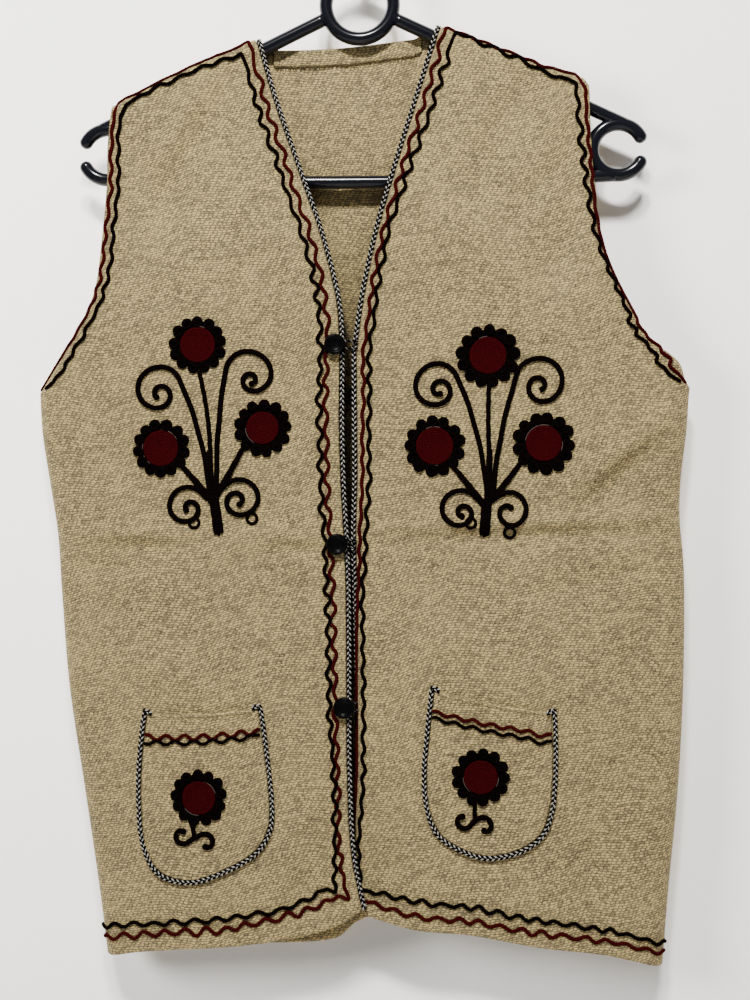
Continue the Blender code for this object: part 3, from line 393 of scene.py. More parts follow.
RIGHT_SPRAY = Spray(
    0.0918, -0.4795,
    table_of(
        Flower, (2.2, 132.1, 23, 12.8, 13, 5.0), (-36.2, 66.9, 22.3, 13, 13, 12.0),
        (42.1, 68.7, 22.8, 12.3, 13, 26.0),
    ),
    table_of(
        Scroll, (1.6, 27, 201.8, 93, 0.46, 21, 668, 0.38), (5.2, 28.1, 200, 86, 0.46, -14, -606, 0.37),
        (0, 23.7, 95, 137, 0.12, 0, 600, 0.39), (5, 28, 75, 32, 0.12, -8, -455, 0.28),
    ),
    table_of(
        Stem, (-0.8, 1.4, 1.6, 30, 0, 3, 0.94), (1.6, 28, 3.4, 66, 0.2, 2, 0.5),
        (3.2, 56, 3, 115, -0.8, 1, 1.0), (0.6, 22.5, -26.2, 56, 0.4, 2, 0.2),
        (3.6, 26.5, 27.8, 58, 0.4, 2, 0.15),
    ),
    table_of(Ringlet, (-10.2, 11.5, 3.4), (17.6, 4.8, 3.8)),
)
LEFT_POCKET_SPRAY = Spray(
    -0.1168, -0.6965,
    table_of(Flower, (2.3, 30, 20.8, 11.6, 13, 10.0)),
    table_of(
        Scroll, (-0.8, 1.6, 26.2, 225, 0.25, -12, -285, 0.2), (-1.2, -0.2, 26.2, 44, 0.24, -20, -285, 0.25),
    ),
    table_of(Stem, (-0.8, 0, -2.8, 16, 0, 1, 1.0)),
    [],
)
RIGHT_POCKET_SPRAY = Spray(
    0.0846, -0.6825,
    table_of(Flower, (4, 33, 20.9, 11.6, 13, 0.0)),
    table_of(Scroll, (0, 3, 24.2, 238, 0.25, -12, -275, 0.2), (0, 2.4, 23, 34, 0.2, -20, -285, 0.3)),
    table_of(Stem, (0, 0, -0.6, 18, 0, 1, 1.0)),
    [],
)


# Interpolation


def ray(angle):
    return Vector((math.cos(angle), math.sin(angle)))


def run_lengths(points):
    """Distance along a line at each of its points."""
    return list(accumulate(((b - a).length for a, b in zip(points, points[1:])), initial=0.0))


def smooth(value):
    value = min(max(value, 0.0), 1.0)
    return value * value * (3.0 - 2.0 * value)


def quarter(value):
    """Rise of a quarter of an ellipse, steep at 0 and level at 1."""
    value = min(max(value, 0.0), 1.0)
    return math.sqrt(1.0 - (1.0 - value) ** 2)


def through(values, t, low, high):
    """A smooth curve through values at whole t, with its ends at low and high."""
    i = min(max(int(t), low), high - 1)
    f = t - i
    a = values[max(i - 1, low)]
    b = values[i]
    c = values[i + 1]
    d = values[min(i + 2, high)]
    return b + 0.5 * f * (c - a + f * (2 * a - 5 * b + 4 * c - d + f * (3 * (b - c) + d - a)))


SECTIONS_FOUND = {}


def section_at(sections, t):
    """The section at row t, with the underarm kept as a corner."""
    key = (id(sections), t)
    if key not in SECTIONS_FOUND:
        low, high = (0, UNDERARM) if t < UNDERARM else (UNDERARM, LAST)
        SECTIONS_FOUND[key] = Section(*(through(c, t, low, high) for c in zip(*sections)))
    return SECTIONS_FOUND[key]


def between(keys, at):
    """The pair of rising keys that a place lies between, by its first, and the share of the way."""
    at = min(max(at, keys[0]), keys[-1])
    n = min(max(bisect.bisect_right(keys, at) - 1, 0), len(keys) - 2)
    return n, (at - keys[n]) / max(keys[n + 1] - keys[n], 1e-9)


def table_value(table, key):
    """Smooth value of a two-column table at key."""
    keys, values = zip(*table)
    return through(values, sum(between(keys, key)), 0, len(keys) - 1)


def row_value(table, at):
    """The table's row at a place, its other columns in proportion between two rows."""
    rows = sorted(table)
    i, share = between([row.at for row in rows], at)
    return Wave(*(a + (b - a) * share for a, b in zip(rows[i], rows[i + 1])))


def fold_height(folds, x, z):
    total = 0.0
    for fold in folds:
        run_x, run_z = fold.x1 - fold.x0, fold.z1 - fold.z0
        off_x, off_z = x - fold.x0, z - fold.z0
        share = (off_x * run_x + off_z * run_z) / (run_x * run_x + run_z * run_z)
        share = min(max(share, 0.0), 1.0)
        reach = math.hypot(off_x - run_x * share, off_z - run_z * share) / fold.width
        if reach < 3.0:
            fade = FOLD_END_SHARE + (1.0 - FOLD_END_SHARE) * math.sin(math.pi * share)
            total += fold.height * fade * math.exp(-reach * reach)
    return total


def unevenness(x, z, seed):
    """The slight unevenness of hand-woven cloth that has hung a long time."""
    wide = noise.noise(Vector((x / 0.085, z / 0.11, seed)))
    close = noise.noise(Vector((x / 0.024, z / 0.030, seed + 7.3)))
    return WIDE_SWAY * wide + CLOSE_SWAY * close


# Cloth


def fold_profile(run, ridge_z):
    """Depth and height at a run of cloth from the ridge, over the arm and then down."""
    angle = min(run / FOLD_QUARTER, 1.0) * math.pi / 2
    drop = FOLD_Z * (1.0 - math.cos(angle)) + max(run - FOLD_QUARTER, 0.0)
    return FOLD_Y * math.sin(angle), ridge_z - drop


FOLD_RUNS = [FOLD_QUARTER * step / FOLD_STEPS for step in range(FOLD_STEPS + 1)]


def ridge_at(x):
    return table_value(LEFT_RIDGE if x < 0 else RIGHT_RIDGE, x)


def back_top(x):
    """Where the back's top edge starts on the fold, its ridge height and its stand-off."""
    inside_left = x - LEFT_RIDGE[-1].x
    inside_right = RIGHT_RIDGE[0].x - x
    inside = min(inside_left, inside_right)
    if inside <= 0:
        return 0.0, ridge_at(x), 0.0
    stand_off = NECK_STAND_OFF * smooth((inside / NECK_WRAP - 0.7) / 0.9)
    edge = table_value(NECK_EDGE, x) + FOLD_Z
    near = ridge_at(LEFT_RIDGE[-1].x if inside_left < inside_right else RIGHT_RIDGE[0].x)
    share = smooth(inside / NECK_WRAP)
    ridge = near + (edge - near) * share
    return FOLD_QUARTER * min(inside / NECK_WRAP, 1.0), ridge, stand_off


def side_depth(edge_distance, side_y, depth):
    """Depth of a panel near its side, where it rolls round to the seam."""
    roll = SIDE_ROLL_SHARE * quarter(edge_distance / SIDE_ROLL)
    ease = (1.0 - SIDE_ROLL_SHARE) * smooth(0.5 + 0.5 * edge_distance / SIDE_EASE) * 2.0
    ease -= 1.0 - SIDE_ROLL_SHARE
    return side_y + (depth - side_y) * (roll + ease)


def swelled(base, depth, below):
    """Depth at a distance below the fold, easing from the arm's to the body's."""
    return base + (depth - base) * smooth(below / SWELL)


def strayed(row, stray):
    return row.x_out + stray.out * math.exp(-(((row.z_out - stray.z) / stray.spread) ** 2))


def front_point(front, t, across):
    """Outer point of a front. across is (from the front edge, from the side) in metres."""
    row = section_at(front.sections, t)
    top = front.sections[LAST]
    start = front.sections[0]
    width = abs(row.x_out - row.x_in)
    from_edge, from_side = across(width)
    share = from_edge / width
    rise = (row.z_in - start.z_in) / (top.z_in - start.z_in)
    z = row.z_in + (row.z_out - row.z_in) * share
    z -= (1.0 - rise) * table_value(front.hem, share)
    x_top = top.x_in + (top.x_out - top.x_in) * share
    base_z = ridge_at(x_top) - FOLD_Z
    chord_z = top.z_in + (top.z_out - top.z_in) * share
    z += rise * (base_z - chord_z)
    strip = min(from_edge / EDGE_STRIP, 1.0)
    steep = min(max(row.edge_back - row.bend_back, 0.0) / EDGE_STRIP, 1.0)
    turn_x = (1.0 - steep) * strip + steep * (1.0 - math.cos(strip * math.pi / 2))
    turn_y = (1.0 - steep) * strip + steep * math.sin(strip * math.pi / 2)
    beyond = max(from_edge - EDGE_STRIP, 0.0) / (width - EDGE_STRIP)
    x_bend = row.x_in + front.hand * row.bend_x
    x_out = strayed(row, LEFT_STRAY if front.hand < 0 else RIGHT_STRAY)
    x = row.x_in + front.hand * row.bend_x * turn_x + (x_out - x_bend) * beyond
    back = row.edge_back + (row.bend_back - row.edge_back) * turn_y
    back *= 1.0 - smooth(beyond / 0.2)
    depth = side_depth(from_side, row.side_y, row.depth - back)
    flat = smooth(from_side / SIDE_ROLL)
    relief = fold_height(front.folds, x, z) + fold_height(front.creases, x, z)
    relief += unevenness(x, z, front.seed) * smooth(from_edge / 0.02)
    y = swelled(FOLD_Y, depth, base_z - z) + relief * flat
    return Vector((x, -y, z))


Front = namedtuple("Front", "sections hem folds creases hand seed")
LEFT_FRONT = Front(LEFT_SECTIONS, LEFT_HEM, LEFT_FOLDS, LEFT_CREASES, -1, 1.7)
RIGHT_FRONT = Front(RIGHT_SECTIONS, RIGHT_HEM, RIGHT_FOLDS, RIGHT_CREASES, 1, 5.9)


def front_grid(front):
    """Rows of outer points from the hem to the shoulder seam, each from edge to side."""
    roll = [SIDE_ROLL * (1.0 - math.cos(math.radians(a))) for a in ROLL_ANGLES]
    first_roll = len(STRIP) + FRONT_MIDDLES

    def column(k):
        def across(width):
            if k < len(STRIP):
                return STRIP[k], width - STRIP[k]
            if k < first_roll:
                share = (k - len(STRIP) + 1) / (FRONT_MIDDLES + 1)
                at = EDGE_STRIP + (width - EDGE_STRIP - SIDE_ROLL) * share
                return at, width - at
            from_side = roll[k - first_roll]
            return width - from_side, from_side

        return across

    columns = [column(k) for k in range(first_roll + len(roll))]
    steps = ROWS_A_SECTION * LAST
    rows = [[front_point(front, n / ROWS_A_SECTION, c) for c in columns] for n in range(steps + 1)]
    base = rows[-1]
    lean = [(p - q).x / (p - q).z for p, q in zip(base, rows[-ROWS_A_SECTION // 2])]
    for run in reversed(FOLD_RUNS[:-1]):
        rows.append([over_fold(p, run, slope) for p, slope in zip(base, lean)])
    return rows


def over_fold(base, run, slope):
    """A point of a front on the fold above its base, leaning as its column does."""
    depth, z = fold_profile(run, base.z + FOLD_Z)
    depth += (-base.y - FOLD_Y) * smooth(run / FOLD_QUARTER)
    return Vector((base.x + slope * (z - base.z), -max(depth, SEAM_HALF_GAP), z))


def back_base(x):
    """Depth and height of the back just below its fold."""
    run, ridge, stand_off = back_top(x)
    depth, z = fold_profile(run + FOLD_QUARTER, ridge)
    return depth + stand_off, z


def back_point(t, share_of):
    left = section_at(LEFT_SECTIONS, t)
    right = section_at(RIGHT_SECTIONS, t)
    x_left = strayed(left, LEFT_STRAY)
    width = strayed(right, RIGHT_STRAY) - x_left
    share = share_of(width)
    foot, top = LEFT_SECTIONS[0].z_in, LEFT_SECTIONS[LAST].z_in
    rise = (left.z_in - foot) / (top - foot)
    x = x_left + width * share
    z = left.z_out + (right.z_out - left.z_out) * share
    z -= (1.0 - rise) * table_value(BACK_HEM, share)
    ends = LEFT_SECTIONS[LAST], RIGHT_SECTIONS[LAST]
    x_top = ends[0].x_out + (ends[1].x_out - ends[0].x_out) * share
    base_y, base_z = back_base(x_top)
    z += rise * (base_z - (ends[0].z_out + (ends[1].z_out - ends[0].z_out) * share))
    from_side = min(share, 1.0 - share) * width
    depth_row = through(BACK_DEPTH, t, 0, LAST)
    depth = side_depth(from_side, left.side_y, depth_row)
    flat = smooth(from_side / SIDE_ROLL)
    relief = fold_height(BACK_FOLDS, x, z) + fold_height(BACK_CREASES, x, z)
    relief += unevenness(x, z, 11.1) * smooth((base_z - z) / 0.03)
    y = swelled(base_y, depth, base_z - z) + relief * flat
    return Vector((x, y, z))


def back_grid():
    roll = [SIDE_ROLL * (1.0 - math.cos(math.radians(a))) for a in reversed(ROLL_ANGLES)]
    near, far = 0.037, 0.963
    middles = [near + (far - near) * n / (BACK_MIDDLES - 1) for n in range(BACK_MIDDLES)]
    columns = [lambda width, d=d: d / width for d in roll]
    columns += [lambda width, s=s: s for s in middles]
    columns += [lambda width, d=d: 1.0 - d / width for d in reversed(roll)]
    steps = ROWS_A_SECTION * LAST
    rows = [[back_point(n / ROWS_A_SECTION, c) for c in columns] for n in range(steps + 1)]
    base = rows[-1]
    for run in reversed(FOLD_RUNS[:-1]):
        row = []
        for p in base:
            start, ridge, stand_off = back_top(p.x)
            depth, z = fold_profile(start + run, ridge)
            row.append(Vector((p.x, max(depth + stand_off, SEAM_HALF_GAP), z)))
        rows.append(row)
    return rows


def grid_normals(grid, sign):
    """Outward unit normals of a grid of points."""
    normals = []
    for i, row in enumerate(grid):
        line = []
        for k in range(len(row)):
            along = row[min(k + 1, len(row) - 1)] - row[max(k - 1, 0)]
            up = grid[min(i + 1, len(grid) - 1)][k] - grid[max(i - 1, 0)][k]
            line.append(along.cross(up).normalized() * sign)
        normals.append(line)
    return normals


def flatten_at_seams(grid, normals):
    """Where a panel meets its neighbour at y = 0, its wall runs square to that plane."""
    for row, line in zip(grid, normals):
        for k, point in enumerate(row):
            if abs(point.y) < 2 * SEAM_HALF_GAP:
                line[k].y = 0.0
                line[k].normalize()


def surface_tree(grid):
    """A tree of a grid's faces, to find the cloth under a point."""
    columns = len(grid[0])
    points = [p for row in grid for p in row]
    quads = [
        (i * columns + k, i * columns + k + 1, (i + 1) * columns + k + 1, (i + 1) * columns + k)
        for i in range(len(grid) - 1)
        for k in range(columns - 1)
    ]
    return BVHTree.FromPolygons(points, quads)


def on_cloth(tree, x, z):
    """The front's outer point at x and z, and its normal towards the viewer."""
    place, normal, _, _ = tree.ray_cast(Vector((x, -0.2, z)), Vector((0.0, 1.0, 0.0)))
    if place is None:
        place, normal, _, _ = tree.find_nearest(Vector((x, -0.03, z)))
    return place, normal if normal.y < 0 else -normal


class Cloth:
    """A panel's fine grid, with what is laid on it found from its borders."""

    def __init__(self, grid, sign):
        self.grid = grid
        self.normals = grid_normals(grid, sign)
        flatten_at_seams(grid, self.normals)
        self.tree = surface_tree(grid)
        self.borders = {}

    def border(self, side):
        """The lines in from one border, by the place where each begins."""
        if side in self.borders:
            return self.borders[side]
        rows, columns = len(self.grid), len(self.grid[0])
        deep = min(BORDER_REACH, columns // 2)
        if side in ("edge", "left"):
            lines = [[(i, k) for k in range(deep)] for i in range(rows)]
        elif side in ("side", "right"):
            lines = [[(i, columns - 1 - k) for k in range(deep)] for i in range(rows)]
        elif side == "hem":
            lines = [[(i, k) for i in range(BORDER_REACH)] for k in range(columns)]
        else:
            lines = [[(rows - 1 - i, k) for i in range(BORDER_REACH)] for k in range(columns)]
        axis = 0 if side in ("hem", "top") else 2
        lines.sort(key=lambda line: self.grid[line[0][0]][line[0][1]][axis])
        keys = [self.grid[line[0][0]][line[0][1]][axis] for line in lines]
        self.borders[side] = keys, lines
        return self.borders[side]

    def inward(self, line, distance):
        """The point and normal at a distance along one of the lines."""
        gone = 0.0
        for (i, k), (j, m) in zip(line, line[1:]):
            a, b = self.grid[i][k], self.grid[j][m]
            step = (b - a).length
            if gone + step >= distance:
                share = (distance - gone) / step
                return a.lerp(b, share), self.normals[i][k].lerp(self.normals[j][m], share)
            gone += step
        return b.copy(), self.normals[j][m].copy()

    def spot(self, side, at, distance):
        keys, lines = self.border(side)
        n, share = between(keys, at)
        low, high = self.inward(lines[n], distance), self.inward(lines[n + 1], distance)
        return low[0].lerp(high[0], share), low[1].lerp(high[1], share).normalized()


FORMS = {}


def forms():
    """The three panels' fine forms, worked out once."""
    if not FORMS:
        FORMS["left"] = Cloth(front_grid(LEFT_FRONT), -1)
        FORMS["right"] = Cloth(front_grid(RIGHT_FRONT), 1)
        FORMS["back"] = Cloth(back_grid(), -1)
    return FORMS


# Mesh making


class Bundle:
    """Gathers points, faces, their finish and their thread coordinates into one mesh."""

    def __init__(self):
        self.points = []
        self.faces = []
        self.uvs = []
        self.picks = []

    def face(self, corners, uvs, pick=0, flip=False):
        self.faces.append(corners[::-1] if flip else corners)
        self.uvs.extend(uvs[::-1] if flip else uvs)
        self.picks.append(pick)

    def cord(self, centres, outs, ups, widths, heights, sides=8, pick=0, closed=False):
        """An oval tube. Its first thread coordinate runs along it, its second round it."""
        rings, first = len(centres), len(self.points)
        runs = run_lengths(centres + centres[:1])
        for i, centre in enumerate(centres):
            for n in range(sides):
                angle = 2 * math.pi * (n + 0.5) / sides
                across = outs[i] * (widths[i] * math.cos(angle))
                self.points.append(centre + across + ups[i] * (heights[i] * math.sin(angle)))
        flip = outs[0].cross(ups[0]).dot(centres[1] - centres[0]) < 0
        for i in range(rings if closed else rings - 1):
            a, b = first + i * sides, first + (i + 1) % rings * sides
            for n in range(sides):
                m = (n + 1) % sides
                spots = ((i, n), (i, n + 1), (i + 1, n + 1), (i + 1, n))
                self.face([a + n, a + m, b + m, b + n], [(runs[j], k / sides) for j, k in spots], pick, flip)
        if not closed:
            start = [first + n for n in range(sides)]
            end = [n + (rings - 1) * sides for n in start]
            self.face(start, [(0.0, 0.0)] * sides, pick, not flip)
            self.face(end, [(runs[-2], 0.0)] * sides, pick, flip)

    def yarn(self, centres, ups, radius, sides=7, pick=0, flat=0.85, blunt=2, closed=False):
        """A yarn laid along a line, rounded off at its ends."""
        count = len(centres)
        runs = directions(centres, closed)
        outs = square_to(ups, runs)
        tops = [run.cross(out) for run, out in zip(runs, outs)]
        sizes = []
        for i in range(count):
            end = min(i, count - 1 - i)
            share = 1.0 if closed else quarter((end + 0.35) / (blunt + 0.35))
            sizes.append(radius * share)
        self.cord(centres, outs, tops, sizes, [s * flat for s in sizes], sides, pick, closed)

    def make(self, name, materials, slot, replaced=()):
        mesh = bpy.data.meshes.new(name)
        mesh.from_pydata(self.points, [], self.faces)
        for material in materials:
            mesh.materials.append(material)
        mesh.polygons.foreach_set("material_index", self.picks)
        layer = mesh.uv_layers.new(name="thread")
        layer.data.foreach_set("uv", [value for uv in self.uvs for value in uv])
        mesh.shade_smooth()
        mesh.update()
        piece = bpy.data.objects.new(name, mesh)
        bpy.context.scene.collection.objects.link(piece)
        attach(piece, "root")
        if replaced:
            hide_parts(*replaced)
        return piece


def directions(points, closed=False):
    """Unit direction of a line of points at each of them."""
    first, last = (points[-1], points[0]) if closed else (points[0], points[-1])
    line = [first, *points, last]
    return [(after - before).normalized() for before, after in zip(line, line[2:])]


def square_to(ups, runs):
    """Unit directions across a line that runs under its ups."""
    return [up.cross(run).normalized() for up, run in zip(ups, runs)]


def evenly(points, ups, step):
    """The same line with its points one step apart."""
    lengths = run_lengths(points)
    count = max(int(round(lengths[-1] / step)), 2)
    line, normals = [], []
    i = 0
    for n in range(count + 1):
        want = lengths[-1] * n / count
        while i < len(lengths) - 2 and lengths[i + 1] < want:
            i += 1
        share = (want - lengths[i]) / max(lengths[i + 1] - lengths[i], 1e-9)
        line.append(points[i].lerp(points[i + 1], share))
        normals.append(ups[i].lerp(ups[i + 1], share).normalized())
    return line, normals


def relaxed(points, passes):
    """A line with its kinks eased."""
    for _ in range(passes):
        middle = [(a + 2 * b + c) / 4 for a, b, c in zip(points, points[1:], points[2:])]
        points = [points[0]] + middle + [points[-1]]
    return points


def curve_points(spots, steps):
    """Evenly stepped flat points (x, z) along a smooth curve through spots."""
    xs, zs = zip(*spots)
    last = len(spots) - 1
    fine = [n * 0.05 for n in range(20 * last + 1)]
    line = [Vector((through(xs, t, 0, last), 0.0, through(zs, t, 0, last))) for t in fine]
    even, _ = evenly(line, [VIEWER] * len(line), run_lengths(line)[-1] / steps)
    return [Vector((p.x, p.z)) for p in even]


def grid_wall(bundle, grid, normals, near, far, flip):
    """A cloth wall between two distances inside a grid, its edges rounded."""
    rows, columns = len(grid), len(grid[0])
    first = len(bundle.points)
    wall = far - near
    uv = []
    for i, row in enumerate(grid):
        side = 1.0 if row[-1].x > row[0].x else -1.0
        line = []
        for k, p in enumerate(row):
            a, b = row[k - 1], grid[i - 1][k]
            u = line[-1][0] + side * math.hypot(p.x - a.x, p.y - a.y) if k else p.x
            v = uv[-1][k][1] + math.hypot(p.z - b.z, p.y - b.y) if i else p.z
            line.append((u, v))
        uv.append(line)
    for depth, share in ((near, 1.0), (far, -1.0)):
        for i in range(rows):
            for k in range(columns):
                p = grid[i][k] - normals[i][k] * depth
                inward = Vector((0.0, 0.0, 0.0))
                if i in (0, rows - 1):
                    inward += (grid[1 if i == 0 else rows - 2][k] - grid[i][k]).normalized()
                if k in (0, columns - 1):
                    inward += (grid[i][1 if k == 0 else columns - 2] - grid[i][k]).normalized()
                if inward.length > 0.1:
                    p += inward * (EDGE_TAKEN_IN * wall) - normals[i][k] * (share * EDGE_THINNED * wall)
                bundle.points.append(p)
    count = rows * columns
    for i in range(rows - 1):
        for k in range(columns - 1):
            a = first + i * columns + k
            quad = [a, a + 1, a + columns + 1, a + columns]
            uvs = [uv[i][k], uv[i][k + 1], uv[i + 1][k + 1], uv[i + 1][k]]
            bundle.face(quad, uvs, 0, flip)
            bundle.face([count + v for v in quad], uvs, 0, not flip)
    ring = [(0, k) for k in range(columns)] + [(i, columns - 1) for i in range(1, rows)]
    ring += [(rows - 1, k) for k in range(columns - 2, -1, -1)]
    ring += [(i, 0) for i in range(rows - 2, 0, -1)]
    start = len(bundle.points)
    for i, k in ring:
        bundle.points.append(grid[i][k] - normals[i][k] * (near + wall / 2))
    for n, (i, k) in enumerate(ring):
        m = (n + 1) % len(ring)
        j, c = ring[m]
        here, after = first + i * columns + k, first + j * columns + c
        uvs = [uv[j][c], uv[i][k], uv[i][k], uv[j][c]]
        bundle.face([after, here, start + n, start + m], uvs, 0, flip)
        bundle.face([start + m, start + n, count + here, count + after], uvs, 0, flip)


# Finishes


class Wire:
    """A shader node's output. Adding, multiplying and so on each make a maths node."""

    def __init__(self, socket):
        self.socket = socket
        self.tree = socket.id_data

    def maths(self, operation, other=0.0):
        return node(self.tree, "Math", 0, {0: self, 1: other}, operation=operation)

    def __add__(self, other):
        return self.maths("ADD", other)

    def __sub__(self, other):
        return self.maths("SUBTRACT", other)

    def __mul__(self, other):
        return self.maths("MULTIPLY", other)

    def __truediv__(self, other):
        return self.maths("DIVIDE", other)

    def __pow__(self, other):
        return self.maths("POWER", other)


def fill(made, inputs):
    """Set a node's inputs: wires are linked, other values are put in."""
    for key, value in inputs.items():
        if isinstance(value, Wire):
            value.tree.links.new(value.socket, made.inputs[key])
        else:
            made.inputs[key].default_value = value


def node(tree, kind, output, inputs=None, **settings):
    """The output of a new shader node."""
    made = tree.nodes.new("ShaderNode" + kind)
    for key, value in settings.items():
        setattr(made, key, value)
    fill(made, inputs or {})
    return Wire(made.outputs[output])


def speckle(place, scale, detail=2.0, roughness=0.5, distortion=0.0):
    inputs = {"Vector": place, "Scale": scale, "Detail": detail}
    inputs.update({"Roughness": roughness, "Distortion": distortion})
    return node(place.tree, "TexNoise", "Fac", inputs)


def blended(factor, a, b):
    """A mix of two colours, each a wire or a plain one."""
    inputs = {0: factor}
    for index, value in ((6, a), (7, b)):
        inputs[index] = value if isinstance(value, Wire) else (*value[:3], 1.0)
    return node(factor.tree, "Mix", 2, inputs, data_type="RGBA")


def spread(value, low, high, to_low=0.0, to_high=1.0):
    """A value whose range from low to high is spread over another."""
    inputs = {"Value": value, "From Min": low, "From Max": high, "To Min": to_low, "To Max": to_high}
    return node(value.tree, "MapRange", "Result", inputs)


def scaled(colour, by):
    return tuple(c * by for c in colour[:3])


def vector_maths(operation, a, b):
    return node(a.tree, "VectorMath", 0, {0: a, 1: b}, operation=operation)


def stretched(place, by):
    return vector_maths("MULTIPLY", place, by)


def moved_by(place, scale, amount):
    """A place shifted unevenly by up to half of an amount."""
    sway = node(place.tree, "TexNoise", "Color", {"Vector": place, "Scale": scale, "Detail": 2.0})
    centred = vector_maths("SUBTRACT", sway, (0.5, 0.5, 0.5))
    return vector_maths("ADD", place, stretched(centred, amount))


def split(place):
    """The first two numbers of a place."""
    made = place.tree.nodes.new("ShaderNodeSeparateXYZ")
    fill(made, {0: place})
    return Wire(made.outputs[0]), Wire(made.outputs[1])


def fresh(name):
    material = bpy.data.materials.new(name)
    material.use_nodes = True
    return material, material.node_tree


def finished(material, height, strength, distance, inputs):
    """The material with its shader's inputs and its bumps set."""
    tree = material.node_tree
    bump = node(tree, "Bump", 0, {"Height": height, "Strength": strength, "Distance": distance})
    fill(tree.nodes["Principled BSDF"], {**inputs, "Normal": bump})
    return material


# Colour stops from a pinhole to a float's crown: where each starts, and its share of the colour.
# The low stops paint shade in the pinholes and hollows, the top stop a painted highlight on the crowns;
# the wool's random changes of tone run over the same stops.
WOOL_TONES_AND_WEAVE_SHADE = (
    (0.0, (0.24, 0.24, 0.28)), (0.22, (0.52, 0.53, 0.58)),
    (0.48, (1.0, 1.0, 1.0)), (0.95, (2.05, 1.95, 1.62)),
)
BRIGHTEST_WOOL = 0.92
ROW_SLANT = 0.14
TWILL_STEP = 0.27
STEP_SLIP = 0.25


def wool_twill(name, colour, nap=1.0, paints_gap_shade=False):
    """Thick hand-woven wool: weft floats in twill steps, flecks and nap; painted shade darkens the pinholes
    and the hollows between floats, and a painted highlight lightens the floats' crowns.

    Wool deep in narrow gaps between the panels can get painted shade as well: an ambient occlusion node
    darkens its colour.
    """
    material, tree = fresh(name)
    place = node(tree, "UVMap", "UV", uv_map="thread")
    placed = moved_by(place, 150.0, (0.0026, 0.0021, 0.0))
    placed = moved_by(placed, 520.0, (0.0022, 0.0013, 0.0))
    across, up = split(placed)
    bend = speckle(stretched(place, (1.0, 0.3, 1.0)), 11.0, 1.0)
    along = up + bend * 0.036 - across * ROW_SLANT
    row = along / sizes().weave_pitch
    row_number = row.maths("FLOOR")
    slip = node(tree, "TexWhiteNoise", "Value", {"W": row_number}, noise_dimensions="1D")
    cell = across / sizes().float_length - row_number * TWILL_STEP + slip * STEP_SLIP
    corner = node(tree, "CombineXYZ", 0, {0: cell.maths("FLOOR"), 1: row_number})
    pick = node(tree, "TexWhiteNoise", "Value", {"Vector": corner}, noise_dimensions="2D")
    rise_row, rise_cell = ((v.maths("FRACT") * math.pi).maths("SINE") for v in (row, cell))
    pad = rise_row ** 1.35 * rise_cell ** 0.75
    fibre = speckle(stretched(placed, (0.35, 1.0, 1.0)), 2600.0, 3.0, 0.65)
    fuzz = speckle(stretched(placed, (0.6, 1.0, 1.0)), 1000.0, 4.0, 0.7, 0.6)
    slub = speckle(node(tree, "CombineXYZ", 0, {0: across * 0.28, 1: along}), 300.0, 3.0, 0.6)
    patch = speckle(place, 22.0, 3.0, 0.55)
    # The weave's relief sets the colour as well as the bump: painted shade in its hollows, painted highlight
    # on its crowns.
    tone = pad * (pick * 0.95 + 0.36)
    for value, share in ((fuzz, 1.40), (fibre, 0.85), (slub, 0.45), (patch, 0.26)):
        tone += (value - 0.5) * share
    tone = node(tree, "ValToRGB", 0, {0: tone + 0.13})
    stops = tone.socket.node.color_ramp.elements
    for n, (at, shares) in enumerate(WOOL_TONES_AND_WEAVE_SHADE):
        stop = stops[n] if n < 2 else stops.new(at)
        stop.position = at
        stop.color = (*(min(c * k, BRIGHTEST_WOOL) for c, k in zip(colour, shares)), 1.0)
    # Painted shade: where an ambient occlusion node finds the wool shut in, its colour is darkened towards 4%
    # of the wool's.
    if paints_gap_shade:
        open_share = node(tree, "AmbientOcclusion", "AO", {"Distance": 0.09}, samples=8)
        tone = blended(spread(open_share, 0.16, 0.50, 1.0, 0.0), tone, scaled(colour, 0.04))
    height = pad + fuzz * 0.75 + fibre * 0.25 + slub * 0.3
    return finished(material, height, 0.22, 0.0007, {
        "Base Color": tone, "Roughness": 0.94, "Specular IOR Level": 0.08,
        "Sheen Weight": 0.05 * nap, "Sheen Roughness": 0.55, "Sheen Tint": (1.0, 0.96, 0.88, 1.0),
    })


def yarn_finish(name, colour, light, pitch=0.0024, twist=0.7, gloss=0.0):
    """Twisted wool yarn: plies round it with painted shade in the grooves between them, loose fibres and
    small changes of dye.
    """
    material, tree = fresh(name)
    along, around = split(node(tree, "UVMap", "UV", uv_map="thread"))
    ply = ((along / pitch + around) * (2 * math.pi)).maths("SINE")
    solid = node(tree, "TexCoord", "Object")
    fibre = speckle(solid, 2400.0, 3.0, 0.7, 0.8)
    # Painted shade: the grooves between the plies are darkened to 0.55 of the colour.
    body = blended(spread(ply, -0.9, 0.9), scaled(colour, 0.55), colour)
    body = blended(spread(fibre, 0.50, 0.78, 0.0, 0.65), body, light)
    body = blended(spread(speckle(solid, 260.0), 0.35, 0.7, 0.0, 0.35), body, scaled(colour, 0.7))
    look = {"Base Color": body, "Roughness": 0.86, "Specular IOR Level": gloss}
    return finished(material, ply * twist + fibre * 1.1, 0.8, 0.00022, look)


def hard_gloss(name, colour, roughness, scuff, gloss):
    """Moulded plastic: slightly uneven gloss with fine scuffs."""
    material, tree = fresh(name)
    solid = node(tree, "TexCoord", "Object")
    wave = speckle(solid, 60.0)
    marks = speckle(solid, 700.0, 5.0, 0.7, 1.5)
    worn = spread(marks, 0.60, 0.80)
    rough = wave * 0.06 + worn * 0.12 + (roughness - 0.03)
    look = {"Base Color": blended(worn, colour, scuff), "Roughness": rough, "Specular IOR Level": gloss}
    return finished(material, wave + marks * 0.08, 0.15, 0.0004, look)


# Sizes and colours that a user may change


